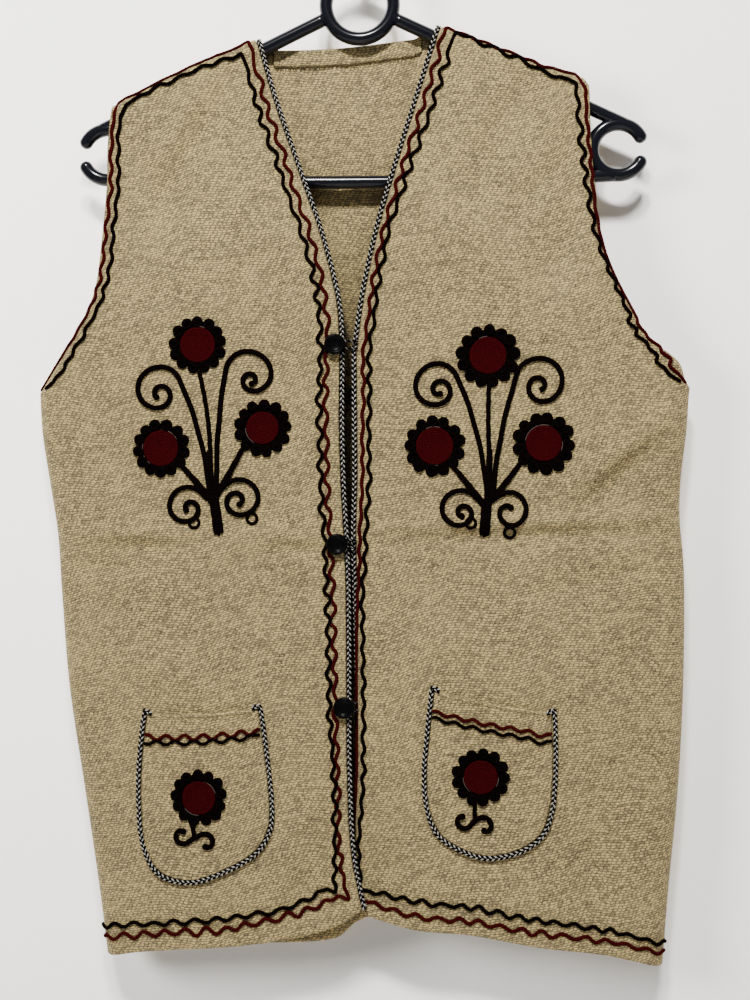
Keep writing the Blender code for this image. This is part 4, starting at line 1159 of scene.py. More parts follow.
def colour_of(name, text, value):
    return bpy.props.FloatVectorProperty(
        name=name, description=text, default=value, size=3, subtype="COLOR", min=0.0, max=1.0
    )


def length_of(name, text, value, low, high, precision=4):
    return bpy.props.FloatProperty(
        name=name, description=text, default=value, min=low, max=high, precision=precision, unit="LENGTH"
    )


def power_of(name, text, value):
    return bpy.props.FloatProperty(name=name, description=text, default=value, min=0.0, unit="POWER")


class VestSizes(bpy.types.PropertyGroup):
    weave_pitch: length_of("Weave pitch", "Height of one row of the twill", 0.00172, 0.0008, 0.004, 5)
    float_length: length_of("Float length", "Length of one weft float of the twill", 0.0034, 0.001, 0.008)
    nap: bpy.props.FloatProperty(
        name="Nap", description="How fuzzy the wool is", default=1.0, min=0.0, max=2.0, subtype="FACTOR",
    )
    yarn_radius: length_of("Yarn radius", "Radius of the embroidery yarn", 0.00138, 0.0006, 0.002)
    stem_yarn: length_of("Stem yarn", "Radius of the yarn of the stems and scrolls", 0.00198, 0.0006, 0.003)
    petal_yarn: length_of("Petal yarn", "Radius of the yarn wound into a petal", 0.00125, 0.0006, 0.002)
    disc_pitch: length_of("Disc pitch", "Distance between a disc's turns", 0.00165, 0.001, 0.003, 5)
    braid_pitch: length_of("Braid pitch", "Distance from one V to the next", 0.00195, 0.001, 0.004, 5)


class VestColours(bpy.types.PropertyGroup):
    wool: colour_of("Wool", "Undyed wool cloth", (0.370, 0.295, 0.150))
    red: colour_of("Red yarn", "Dark red embroidery yarn", (0.058, 0.0050, 0.0056))
    dark: colour_of("Dark yarn", "Brown-black embroidery yarn", (0.0052, 0.0030, 0.0029))
    white: colour_of("White yarn", "White yarn of the braid", (0.74, 0.71, 0.64))
    black: colour_of("Black yarn", "Black yarn of the braid", (0.0050, 0.0046, 0.0045))
    button: colour_of("Button", "Black of the buttons", (0.0032, 0.0030, 0.0034))
    hanger: colour_of("Hanger", "Black of the plastic hanger", (0.0052, 0.0062, 0.0108))
    backdrop: colour_of("Backdrop", "Wall and floor", (0.93, 0.915, 0.895))


class VestStudio(bpy.types.PropertyGroup):
    key_power: power_of("Key light", "Power of the key light", 73.0)
    surround: bpy.props.FloatProperty(
        name="Surround", description="Strength of the light from all round", default=0.19, min=0.0,
    )
    wall_power: power_of("Wall light", "Power of the lights on the wall alone", 88.0)
    distance: length_of("Camera distance", "From the camera to the hanger", 1.0, 0.5, 10.0, 2)
    azimuth: bpy.props.FloatProperty(
        name="Camera azimuth", description="Turn of the camera round the vest",
        default=math.radians(3.0), subtype="ANGLE", unit="ROTATION",
    )


def sizes():
    return bpy.context.scene.vest_sizes


def colours():
    return bpy.context.scene.vest_colours


FINISHES = {}


def finish_of(name):
    """A material made once and shared by the pieces that have its finish."""
    if name not in FINISHES:
        c, nap = colours(), sizes().nap
        disc = [part * share for part, share in zip(c.red, (0.80, 0.60, 0.80))]
        # The neck hem's raw threads are darkened to 0.55 of the wool: painted shade for the shadow line under
        # the hem's raw edge.
        wool_end_shaded = scaled(c.wool, 0.55), scaled(c.wool, 1.1)
        maker, *values = {
            "wool": (wool_twill, "wool_twill", c.wool, nap),
            "wool_inside": (wool_twill, "wool_twill_inside", scaled(c.wool, 0.96), nap * 0.8),
            # The back's wool, with painted shade where it lies deep in narrow gaps.
            "wool_back_gap_shade": (wool_twill, "wool_twill_back", c.wool, nap, True),
            "wool_end_shaded": (yarn_finish, "raw_wool_thread", *wool_end_shaded, 0.0016),
            "red": (yarn_finish, "red_yarn", c.red, (0.105, 0.0115, 0.0115)),
            "disc": (yarn_finish, "red_disc_yarn", disc, (0.135, 0.0080, 0.0115), 0.0020, 0.55),
            "dark": (yarn_finish, "dark_yarn", c.dark, (0.011, 0.0070, 0.0064)),
            "white": (yarn_finish, "white_braid_yarn", c.white, (0.88, 0.85, 0.79), 0.0016, 0.7, 0.05),
            "black": (yarn_finish, "black_braid_yarn", c.black, (0.014, 0.013, 0.012), 0.0016),
            "thread": (yarn_finish, "pale_thread", (0.24, 0.16, 0.14), (0.42, 0.34, 0.30), 0.0008),
            "button": (hard_gloss, "black_button", c.button, 0.30, (0.005, 0.005, 0.006), 0.05),
            "hanger": (hard_gloss, "black_plastic", c.hanger, 0.17, (0.008, 0.009, 0.013), 0.36),
        }[name]
        FINISHES[name] = maker(*values)
    return FINISHES[name]


class VestOperator:
    bl_options = {"REGISTER", "UNDO"}


# Cloth


def bare_area(cloth):
    """Flat area of a panel, from its grid."""
    total = 0.0
    for low, high in zip(cloth.grid, cloth.grid[1:]):
        for a, b, c, d in zip(low, low[1:], high[1:], high):
            total += ((c - a).cross(d - b)).length / 2
    return total


# Each panel's width and height when it was cut
FLAT_SIZES = {"left": (0.270, 0.650), "right": (0.275, 0.655), "back": (0.500, 0.690)}


class VEST_OT_fronts(VestOperator, bpy.types.Operator):
    """Build the two fronts of the vest as thin shells of twill"""

    bl_idname = "vest.fronts"
    bl_label = "Fronts"

    def execute(self, context):
        for side in ("left", "right"):
            cloth, flat = forms()[side], FLAT_SIZES[side]
            bundle = Bundle()
            grid_wall(bundle, cloth.grid, cloth.normals, 0.0, WALL, side == "left")
            piece = bundle.make("cloth_front_" + side, [finish_of("wool")], "wool", ["front_" + side])
            area = min(bare_area(cloth), flat[0] * flat[1])
        return {"FINISHED"}


class VEST_OT_back(VestOperator, bpy.types.Operator):
    """Build the back of the vest and the hem turned in at its neck, frayed along its raw edge"""

    bl_idname = "vest.back"
    bl_label = "Back"

    def execute(self, context):
        cloth = forms()["back"]
        bundle = Bundle()
        grid_wall(bundle, cloth.grid, cloth.normals, 0.0, WALL, True)
        flat = FLAT_SIZES["back"]
        piece = bundle.make("cloth_back", [finish_of("wool_back_gap_shade")], "wool", ["back"])
        hem = self.neck_hem(cloth)
        area = min(bare_area(cloth), flat[0] * flat[1])
        return {"FINISHED"}

    def neck_hem(self, cloth):
        top = cloth.grid[-1]
        columns = [k for k, p in enumerate(top) if back_top(p.x)[2] > 0.2 * NECK_STAND_OFF]
        rows = list(range(len(cloth.grid) - len(FOLD_RUNS), len(cloth.grid)))
        part = [[cloth.grid[i][k] for k in columns] for i in rows]
        lines = [[cloth.normals[i][k] for k in columns] for i in rows]
        near = WALL + GAP
        bundle = Bundle()
        grid_wall(bundle, part, lines, near, near + NECK_HEM_WALL, True)
        raw = [p - n * (near + NECK_HEM_WALL / 2) for p, n in zip(part[0], lines[0])]
        picker = random.Random(5)
        for a, b, n in zip(raw, raw[1:], lines[0]):
            for _ in range(3):
                foot = a.lerp(b, picker.random())
                length = picker.uniform(0.0006, 0.0020)
                lean = picker.uniform(-0.5, 0.5)
                thread = []
                for step in range(5):
                    share = step / 4
                    drop = length * share
                    aside = lean * drop + 0.0004 * math.sin(5 * share + lean * 9)
                    thread.append(foot + Vector((aside, -n.y * 0.0008 * share, 0.0004 - drop)))
                bundle.yarn(thread, [VIEWER] * 5, picker.uniform(0.00018, 0.00034), 5, 1, 1.0, 1)
        finishes = [finish_of("wool_inside"), finish_of("wool_end_shaded")]
        return bundle.make("cloth_neck_hem", finishes, "wool", ["back_neck_hem"])


# Pockets


POCKET_STEPS = 48
POCKET_ALLOWANCE = 0.012
MOUTH_SAG = 0.0016
MOUTH_BULGE = 0.0017


class PocketForm:
    """A pocket's fine grid inside its braid, from the mouth down, just off the front."""

    def __init__(self, tree, outline, seed):
        path = curve_points(outline, 120)
        centre = sum(path, Vector((0.0, 0.0))) / len(path)
        inset = CORD_HALF_WIDTH + GAP
        edge = []
        for i, p in enumerate(path):
            run = path[min(i + 1, len(path) - 1)] - path[max(i - 1, 0)]
            side = Vector((-run.y, run.x)).normalized()
            if side.dot(centre - p) < 0:
                side = -side
            edge.append(p + side * inset)
        half = len(edge) // 2
        left = edge[: half + 1]
        right = edge[half:][::-1]
        self.rows, self.ups = [], []
        for j in range(half):
            row, up = [], []
            down = j / (half - 1)
            for m in range(POCKET_STEPS + 1):
                share = m / POCKET_STEPS
                p = left[j].lerp(right[j], share)
                sag = math.sin(math.pi * share)
                p = Vector((p.x, p.y - MOUTH_SAG * sag * (1 - down) ** 3))
                place, normal = on_cloth(tree, p.x, p.y)
                bulge = MOUTH_BULGE * sag ** 0.7 * math.exp(-down * 9.0)
                uneven = 1 + noise.noise(Vector((p.x / 0.03, p.y / 0.03, seed)))
                bulge += 0.0004 * sag * math.sin(math.pi * down) * uneven
                row.append(place + normal * (POCKET_LIFT + POCKET_WALL + bulge))
                up.append(normal)
            self.rows.append(row)
            self.ups.append(up)
        self.rows.reverse()
        self.ups.reverse()
        self.tree = surface_tree(self.rows)


POCKETS = {}


def pocket_form(side):
    if side not in POCKETS:
        outline, seed = (LEFT_POCKET, 3.1) if side == "left" else (RIGHT_POCKET, 8.4)
        POCKETS[side] = PocketForm(forms()[side].tree, outline, seed)
    return POCKETS[side]


class VEST_OT_pockets(VestOperator, bpy.types.Operator):
    """Build the two patch pockets, their mouths softly rolled and a little open"""

    bl_idname = "vest.pockets"
    bl_label = "Pockets"

    def execute(self, context):
        for side in ("left", "right"):
            form = pocket_form(side)
            bundle = Bundle()
            normals = grid_normals(form.rows, -1 if form.rows[-1][0].x > form.rows[-1][-1].x else 1)
            grid_wall(bundle, form.rows, normals, 0.0, POCKET_WALL, False)
            down = Vector((0, 0, -0.0004))
            roll = [p - n * (POCKET_WALL * 0.45) + down for p, n in zip(form.rows[-1], form.ups[-1])]
            first = len(bundle.uvs)
            bundle.yarn(roll, form.ups[-1], 0.00165, 8, 0, 0.9, 3)
            bundle.uvs[first:] = [(u, v * 0.0104) for u, v in bundle.uvs[first:]]
            piece = bundle.make("cloth_pocket_" + side, [finish_of("wool")], "wool", ["pocket_" + side])
            xs, _, zs = zip(*(p for row in form.rows for p in row))
            flat = tuple(max(v) - min(v) + POCKET_ALLOWANCE for v in (xs, zs))
        return {"FINISHED"}


# Braid and loops


# Thinnest and thickest of the braid's white and black strands
STRAND_RADII = ((0.00048, 0.00058), (0.00080, 0.00090))
# How far round the cord a strand reaches from the middle of its face
STRAND_REACH = math.radians(76)


def braided(bundle, centres, outs, ups, pitch, point, both_faces):
    """A cord of white and black strands laid slanting from side to side over a dark core."""
    total = run_lengths(centres)
    core = [[half] * len(centres) for half in (CORD_HALF_WIDTH * 0.82, CORD_HALF_THICKNESS * 0.72)]
    bundle.cord(centres, outs, ups, *core, 8, 2)
    picker = random.Random(11)

    def place(at, across, face, lift):
        n, share = between(total, at)
        out = outs[n].lerp(outs[n + 1], share).normalized()
        up = ups[n].lerp(ups[n + 1], share).normalized() * face
        turn = across * STRAND_REACH
        spot = centres[n].lerp(centres[n + 1], share)
        spot = spot + out * (CORD_HALF_WIDTH * 0.84 * math.sin(turn))
        spot = spot + up * (CORD_HALF_THICKNESS * 0.80 * math.cos(turn) + lift)
        facing = (out * math.sin(turn) * 0.8 + up * math.cos(turn)).normalized()
        return spot, facing

    count = int(total[-1] / pitch)
    for j in range(count):
        middle = (j + 0.5) * total[-1] / count
        for face in (1, -1) if both_faces else (1,):
            for hand in (-1, 1):
                line, facings = [], []
                jitter = picker.uniform(-0.00018, 0.00018)
                slant = point * picker.uniform(0.0021, 0.0027)
                for step in range(4):
                    share = step / 3
                    across = hand * (1.0 - 0.98 * share)
                    along = middle + jitter + slant * (share - 0.5)
                    spot, facing = place(along, across, face, 0.00016 * math.sin(math.pi * share))
                    line.append(spot)
                    facings.append(facing)
                colour = (j + (hand > 0)) % 2
                bundle.yarn(line, facings, picker.uniform(*STRAND_RADII[colour]), 6, colour, 0.8, 1)


class VEST_OT_braids(VestOperator, bpy.types.Operator):
    """Build the black and white braid along the front edges and round the pockets"""

    bl_idname = "vest.braids"
    bl_label = "Braids"

    def execute(self, context):
        finishes = [finish_of("white"), finish_of("black"), finish_of("black")]
        for side, point in (("left", 1), ("right", -1)):
            cloth = forms()[side]
            centres, outs, ups = [], [], []
            for row, line in zip(cloth.grid, cloth.normals):
                out = (row[0] - row[2]).normalized()
                up = (line[0] - out * line[0].dot(out)).normalized()
                centres.append(row[0] - line[0] * (WALL / 2) + out * (CORD_HALF_WIDTH + GAP))
                outs.append(out)
                ups.append(up)
            centres[-1] += Vector((0.0, -GAP, 0.0))
            bundle = Bundle()
            braided(bundle, centres, outs, ups, sizes().braid_pitch, point, True)
            bundle.make("braid_edge_" + side, finishes, "braid", ["braid_front_" + side])
            self.pocket(side, finishes)
        return {"FINISHED"}

    def pocket(self, side, finishes):
        outline = list(LEFT_POCKET if side == "left" else RIGHT_POCKET)
        turned = (0.0062, 0.0012) if side == "left" else (0.0058, 0.0006)
        first, last = outline[0], outline[-1]
        ends = [
            [Spot(first.x + turned[0], first.z + 0.0010), Spot(first.x + 0.0022, first.z + 0.0024)],
            [Spot(last.x - 0.0022, last.z + 0.0024), Spot(last.x - turned[0], last.z + turned[1])],
        ]
        path = curve_points(ends[0] + outline + ends[1], 260)
        tree = forms()[side].tree
        spots = [on_cloth(tree, p.x, p.y) for p in path]
        lift = []
        for n in range(len(path)):
            near_end = min(n, len(path) - 1 - n) * 0.0012
            lift.append(POCKET_LIFT + BRAID_HALF_THICKNESS + 0.0016 * (1 - smooth(near_end / 0.008)))
        centres = [place + normal * up for (place, normal), up in zip(spots, lift)]
        ups = [normal for _, normal in spots]
        outs = square_to(ups, directions(centres))
        bundle = Bundle()
        braided(bundle, centres, outs, ups, sizes().braid_pitch, 1, False)
        bundle.make("braid_round_pocket_" + side, finishes, "braid", ["braid_pocket_" + side])


# A loop's two black strands and a white thread: half turns round, distance out, radius, finish
LOOP_STRANDS = ((0, 0.00046, 0.00062, 1), (1, 0.00046, 0.00062, 1), (0.5, 0.00078, 0.00016, 0))
LOOP_STEP = 0.0005
LOOP_TURN = 0.0046


def loop_path(button):
    """The loop's line from the right front's edge round the button's shank and back."""
    left, right = forms()["left"], forms()["right"]
    place, normal = on_cloth(left.tree, button.x, button.z)
    turn = SHANK_RADIUS + GAP + 0.001
    shank = place + normal * (GAP + SHANK_LENGTH / 2)
    spot, facing = right.spot("edge", button.z, button.loop_inset)
    start = spot + facing * (GAP + 0.001)
    left_edge = min((row[0] for row in left.grid), key=lambda p: abs(p.z - button.z))
    corner_x = left_edge.x + 2 * BRAID_HALF_WIDTH + LOOP_PAST_BRAID
    half = [
        Vector((start.x, start.y, button.z + LOOP_SPREAD)),
        Vector(((start.x + corner_x) / 2, (start.y + shank.y) / 2, button.z + LOOP_SPREAD)),
        Vector((corner_x, shank.y + GAP, button.z + LOOP_SPREAD)),
    ]
    half += [shank + Vector((x, 0.0, turn)) for x in LOOP_NECK]
    bend = [
        shank + Vector((-turn * math.sin(a), 0.0, turn * math.cos(a)))
        for a in (math.radians(d) for d in range(0, 181, 20))
    ]
    other = [Vector((p.x, p.y, 2 * button.z - p.z)) for p in reversed(half)]
    return half + bend + other


class VEST_OT_loops(VestOperator, bpy.types.Operator):
    """Build the twisted button loops on the right front's edge"""

    bl_idname = "vest.loops"
    bl_label = "Loops"

    def execute(self, context):
        for button in BUTTONS:
            points = loop_path(button)
            line, ups = evenly(points, [VIEWER] * len(points), LOOP_STEP)
            line = relaxed(line, 4)
            runs = directions(line)
            outs = square_to(ups, runs)
            tops = [run.cross(out) for run, out in zip(runs, outs)]
            bundle = Bundle()
            for strand, off, thick, pick in LOOP_STRANDS:
                twisted = []
                for n, p in enumerate(line):
                    angle = 2 * math.pi * n * LOOP_STEP / LOOP_TURN + math.pi * strand
                    twisted.append(p + (outs[n] * math.cos(angle) + tops[n] * math.sin(angle)) * off)
                bundle.yarn(twisted, tops, thick, 6, pick, 1.0, 2)
            finishes = [finish_of("white"), finish_of("black")]
            bundle.make("cord_loop_" + button.name, finishes, "braid", ["loop_" + button.name])
        return {"FINISHED"}


# Buttons


# A button's rim: how far in from its radius, and how far past its back or short of its front
BUTTON_BACK = ((0.0012, 0.0), (0.0004, 0.0003), (0.00004, 0.0011), (0.0, 0.0017))
BUTTON_FRONT = (
    (0.0002, 0.0009), (0.0007, 0.00025), (0.0014, 0.0), (0.0021, 0.00015), (0.0026, 0.0005), (0.0030, 0.0008),
)
BUTTON_SIDES = 48
BUTTON_DISH = ((0.0032, 0.0013), (0.0016, 0.00145), (0.0, 0.0015))


class VEST_OT_buttons(VestOperator, bpy.types.Operator):
    """Build the three turned buttons on their shanks, dished with a rounded rim"""

    bl_idname = "vest.buttons"
    bl_label = "Buttons"

    def profile(self):
        """Radius and height from the foot of the shank, up and round to the middle of the dish."""
        back, front = SHANK_LENGTH, SHANK_LENGTH + BUTTON_THICKNESS
        shank = [(0.0, 0.0), (SHANK_RADIUS, 0.0), (SHANK_RADIUS * 0.86, back / 2), (SHANK_RADIUS, back)]
        rim = [(BUTTON_RADIUS - inset, back + rise) for inset, rise in BUTTON_BACK]
        rim += [(BUTTON_RADIUS - inset, front - drop) for inset, drop in BUTTON_FRONT]
        return shank + rim + [(radius, front - drop) for radius, drop in BUTTON_DISH]

    def execute(self, context):
        sides = BUTTON_SIDES
        profile = self.profile()
        for button in BUTTONS:
            place, normal = on_cloth(forms()["left"].tree, button.x, button.z)
            foot = place + normal * GAP
            side = normal.cross(Vector((0.0, 0.0, 1.0))).normalized()
            up = side.cross(normal).normalized()
            bundle = Bundle()
            for radius, height in profile:
                for n in range(sides):
                    angle = 2 * math.pi * n / sides
                    offset = side * (radius * math.cos(angle)) + up * (radius * math.sin(angle))
                    bundle.points.append(foot + normal * height + offset)
            for a in range(0, (len(profile) - 1) * sides, sides):
                for n in range(sides):
                    m = (n + 1) % sides
                    bundle.face([a + n, a + sides + n, a + sides + m, a + m], [(0.0, 0.0)] * 4)
            name = "button_" + button.name
            bundle.make("turned_" + name, [finish_of("button")], "button_black", [name])
        return {"FINISHED"}


# Embroidery


STITCH = 0.0009
# How far the red and the dark yarn's middle stands off the cloth, by its radius
WAVE_LIFTS = (0.45, 0.75)


def wave_line(cloth, side, table):
    """Points of a waved yarn along one border, with the cloth's normals there."""
    rows = sorted(table)
    low, high = rows[0].at, rows[-1].at
    count = max(int((high - low) / STITCH), 2)
    points, ups = [], []
    for n in range(count + 1):
        row = row_value(rows, low + (high - low) * n / count)
        stray = noise.noise(Vector((row.at / 0.030, 3.0 * rows[0].inset, 4.7)))
        slip = noise.noise(Vector((row.at / 0.017, rows[0].inset * 500.0, 9.1)))
        swing = row.swing * (1.0 + 0.75 * slip)
        distance = row.inset + 0.0007 * stray + swing * math.sin(2 * math.pi * (row.turns + 0.14 * stray))
        distance = max(distance, 0.0004)
        point, up = cloth.spot(side, row.at, distance)
        points.append(point)
        ups.append(up)
    return points, ups


def lay_line(bundle, points, ups, radius, pick):
    points, ups = evenly(points, ups, 0.00085)
    points = relaxed(points, 3)
    raised = [p + u * (radius * WAVE_LIFTS[pick]) for p, u in zip(points, ups)]
    bundle.yarn(raised, ups, radius, 8, pick, 0.82, 2)


class VEST_OT_wave_lines(VestOperator, bpy.types.Operator):
    """Lay the red and dark waved yarns along the borders of the panels and on the pockets"""

    bl_idname = "vest.wave_lines"
    bl_label = "Waved yarn lines"

    def execute(self, context):
        finishes = [finish_of("red"), finish_of("dark")]
        radius = sizes().yarn_radius
        for side, red, black in (("left", LEFT_RED, LEFT_BLACK), ("right", RIGHT_RED, RIGHT_BLACK)):
            bundle = Bundle()
            for pick, tables in ((0, red), (1, black)):
                points, ups = self.round_front(forms()[side], tables, side == "left")
                lay_line(bundle, points, ups, radius, pick)
            bundle.make("waves_front_" + side, finishes, "wool")
            self.pocket(side, finishes, radius)
        bundle = Bundle()
        for pick, tables in ((0, BACK_RED), (1, BACK_BLACK)):
            for border, table in tables.items():
                points, ups = wave_line(forms()["back"], border, table)
                lay_line(bundle, points, ups, radius, pick)
        bundle.make("waves_back", finishes, "wool")
        return {"FINISHED"}

    def round_front(self, cloth, tables, left):
        """One line from the side seam along the hem, up the edge, over and down the armhole."""
        points, ups = [], []
        for border in ("hem", "edge", "top", "side"):
            step = -1 if border in ("side", "top" if left else "hem") else 1
            line = wave_line(cloth, border, tables[border])
            points += line[0][::step]
            ups += line[1][::step]
        return points, ups

    def pocket(self, side, finishes, radius):
        waves = LEFT_POCKET_WAVES if side == "left" else RIGHT_POCKET_WAVES
        form = pocket_form(side)
        mouth = form.rows[-1]
        bundle = Bundle()
        for pick, name in ((0, "red"), (1, "black")):
            rows = sorted(waves[name])
            points, ups = [], []
            length = rows[-1].at - rows[0].at
            count = int(length / STITCH)
            for n in range(count + 1):
                row = row_value(rows, rows[0].at + length * n / count)
                top = min(mouth, key=lambda p: abs(p.x - row.at)).z
                z = top - row.inset + row.swing * math.sin(2 * math.pi * row.turns)
                point, up = on_cloth(form.tree, row.at, z)
                points.append(point)
                ups.append(up)
            lay_line(bundle, points, ups, radius * 0.92, pick)
        bundle.make("waves_pocket_" + side, finishes, "wool")


def wound(centre, radius, yarn, turns, hand, start, step):
    """Flat points of a yarn wound from a ring in to its centre, evenly over the round."""
    outer = radius - yarn
    count = max(int(math.pi * outer * turns / step), 12)
    points = []
    for n in range(count + 1):
        wind = turns * (1.0 - math.sqrt(1.0 - 0.995 * n / count))
        r = outer * min((turns - wind) / max(turns - 1.0, 1.0), 1.0)
        angle = start + hand * 2 * math.pi * wind
        points.append(Vector((centre.x + r * math.cos(angle), centre.y + r * math.sin(angle))))
    return points


# A pad of filling stitches, ring by ring: share of its radius, share of its height
PAD_RINGS = ((0.97, 0.55), (0.85, 0.85), (0.55, 1.0), (0.2, 1.0))
PAD_FOOT = -0.00015
PETAL_OVERLAP = 1.06
PETAL_RISE = 0.0011
SPRAYS = {
    "chest_left": LEFT_SPRAY, "chest_right": RIGHT_SPRAY,
    "pocket_left": LEFT_POCKET_SPRAY, "pocket_right": RIGHT_POCKET_SPRAY,
}


class VEST_OT_flowers(VestOperator, bpy.types.Operator):
    """Work the flower sprays: wound petals, stitched discs, stems, scrolls and ringlets"""

    bl_idname = "vest.flowers"
    bl_label = "Flower embroidery"

    def execute(self, context):
        finishes = [finish_of("disc"), finish_of("dark"), finish_of("thread")]
        for name, spray in SPRAYS.items():
            place, side = name.split("_")
            self.picker = random.Random(sum(map(ord, name)))
            self.bundle = Bundle()
            self.tree = (pocket_form(side) if place == "pocket" else forms()[side]).tree
            foot = Vector((spray.x, spray.z))
            for work, group in zip((self.flower, self.scroll, self.stem, self.ringlet), spray[2:]):
                for each in group:
                    work(foot, each)
            self.bundle.make("embroidery_" + name, finishes, "wool")
        return {"FINISHED"}

    def lay(self, flat, radius, lift, pick, sides=7, heights=None, closed=False, blunt=2, oval=0.85):
        centres, ups = [], []
        for n, p in enumerate(flat):
            place, normal = on_cloth(self.tree, p.x, p.y)
            extra = heights[n] if heights else 0.0
            centres.append(place + normal * (radius * lift + extra))
            ups.append(normal)
        self.bundle.yarn(centres, ups, radius, sides, pick, oval, blunt, closed)

    def mound(self, centre, radius, height, pick, stretch=1.0, heading=0.0, sides=22):
        """A low rounded pad of filling stitches under the laid yarns."""
        rings = [(1.0, PAD_FOOT)] + [(share, rise * height) for share, rise in PAD_RINGS]
        first = len(self.bundle.points)
        run = ray(heading)
        side = Vector((-run.y, run.x))
        for share, rise in rings:
            for n in range(sides):
                angle = 2 * math.pi * n / sides
                p = centre + run * (radius * stretch * share * math.cos(angle))
                p += side * (radius * share * math.sin(angle))
                place, normal = on_cloth(self.tree, p.x, p.y)
                self.bundle.points.append(place + normal * rise)
        top = first + (len(rings) - 1) * sides
        for a in range(first, top, sides):
            for n in range(sides):
                m = (n + 1) % sides
                uvs = [(n * 0.001, 0.0), (m * 0.001, 0.0), (m * 0.001, 0.2), (n * 0.001, 0.2)]
                self.bundle.face([a + n, a + m, a + sides + m, a + sides + n], uvs, pick)
        self.bundle.face([top + n for n in range(sides)], [(0.0, 0.0)] * sides, pick)

    def flower(self, foot, flower):
        centre = foot + Vector((flower.dx, flower.dz))
        yarn = sizes().petal_yarn
        petal = math.pi * (flower.radius + flower.disc) / 2 / flower.petals * PETAL_OVERLAP
        reach = flower.radius - petal
        self.mound(centre, reach + 0.0008, 0.0007, 1, sides=40)
        for n in range(flower.petals):
            place = (n + self.picker.uniform(-0.09, 0.09)) / flower.petals
            angle = math.radians(flower.turn) + 2 * math.pi * place
            r = petal * self.picker.uniform(0.94, 1.06)
            away = reach + self.picker.uniform(-0.0004, 0.0005)
            spot = centre + ray(angle) * away
            self.mound(spot, r * 0.97, 0.0012, 1, 1.05, angle)
            points = wound(spot, r, yarn, 2.0, 1, self.picker.uniform(0, 6.3), STITCH)
            heights = [PETAL_RISE * (i / len(points)) for i in range(len(points))]
            self.lay(points, yarn, 0.50, 1, 6, heights, oval=0.75)
        pitch = sizes().disc_pitch
        turns = flower.disc / pitch
        self.mound(centre, flower.disc + 0.0002, 0.0013, 0, sides=40)
        points = wound(centre, flower.disc + 0.0004, pitch * 0.55, turns, 1, 0.6, 0.0012)
        self.lay(points, pitch * 0.64, 0.0, 0, 7, [PETAL_RISE] * len(points), oval=0.42)
        for _ in range(self.picker.randint(1, 3)):
            start, sweep = self.picker.uniform(0, 6.28), self.picker.uniform(0.35, 1.1)
            line = [centre + ray(start + sweep * n / 8) * (flower.disc + 0.0010) for n in range(9)]
            self.lay(line, 0.00022, 1.0, 2, 5, [PETAL_RISE] * 9)

    def scroll(self, foot, scroll):
        place = foot + Vector((scroll.dx, scroll.dz))
        steps = int(scroll.length / STITCH)
        points = []
        for n in range(steps + 1):
            share = (n + 0.5) / (steps + 1)
            past = max(share - scroll.lead, 0.0) / (1.0 - scroll.lead)
            turn = scroll.lead_turn * min(share / scroll.lead, 1.0)
            turn += (scroll.turn - scroll.lead_turn) * ((1.0 - scroll.coil) * past + scroll.coil * past ** 6)
            turn += 2.0 * math.sin(n * 0.17 + scroll.heading)
            points.append(place.copy())
            place = place + ray(math.radians(scroll.heading + turn)) * (scroll.length / steps)
        radius = sizes().stem_yarn
        self.lay(points, radius, 0.50, 1, 8, oval=0.75)
        self.mound(points[-1], radius * 1.15, radius * 1.2, 1, sides=12)

    def stem(self, foot, stem):
        a = foot + Vector((stem.dx0, stem.dz0))
        b = foot + Vector((stem.dx1, stem.dz1))
        run = (b - a).normalized()
        side = Vector((run.y, -run.x))
        steps = max(int((b - a).length / STITCH), 4)
        radius = sizes().stem_yarn * (0.82 if stem.yarns > 1 else 0.90)
        for yarn in range(stem.yarns):
            offset = (yarn - (stem.yarns - 1) / 2) * radius * 1.45
            early = 0.0012 * abs(yarn - (stem.yarns - 1) / 2)
            points = []
            for n in range(steps + 1):
                share = n / steps
                sway = stem.bow * math.sin(math.pi * share) + offset * (1.0 + (stem.narrowing - 1.0) * share)
                sway += 0.00012 * math.sin(n * 0.55 + yarn * 2.0)
                points.append(a.lerp(b, share) + side * sway + run * (early * (1.0 - 2.0 * share)))
            self.lay(points, radius, 0.55, 1, 8, oval=0.75, blunt=3)

    def ringlet(self, foot, ringlet):
        centre = foot + Vector((ringlet.dx, ringlet.dz))
        points = [centre + ray(2 * math.pi * n / 22) * ringlet.radius for n in range(22)]
        self.lay(points, sizes().yarn_radius * 0.85, 0.6, 1, 7, closed=True)


# Hanger


def arc(centre, radius, start, end, steps):
    """Points on a circle in the plane y = 0, by angle from +X towards +Z."""
    angles = [math.radians(start + (end - start) * n / steps) for n in range(steps + 1)]
    return [centre + Vector((radius * math.cos(a), 0.0, radius * math.sin(a))) for a in angles]


def notch_tangent(centre, hand):
    """Where an arm's axis touches the circle of its end notch."""
    tilt = math.atan(ARM_SLOPE)
    return centre + Vector((hand * math.sin(tilt), 0.0, math.cos(tilt))) * NOTCH_RADIUS


def arm_point(centre, hand, x):
    touch = notch_tangent(centre, hand)
    return Vector((x, 0.0, touch.z + ARM_SLOPE * abs(touch.x - x)))


def bar_z(x):
    left = NOTCH_LEFT.z - NOTCH_RADIUS
    right = NOTCH_RIGHT.z - NOTCH_RADIUS
    share = (x - NOTCH_LEFT.x) / (NOTCH_RIGHT.x - NOTCH_LEFT.x)
    return left + (right - left) * share - BAR_SAG * math.sin(math.pi * share)


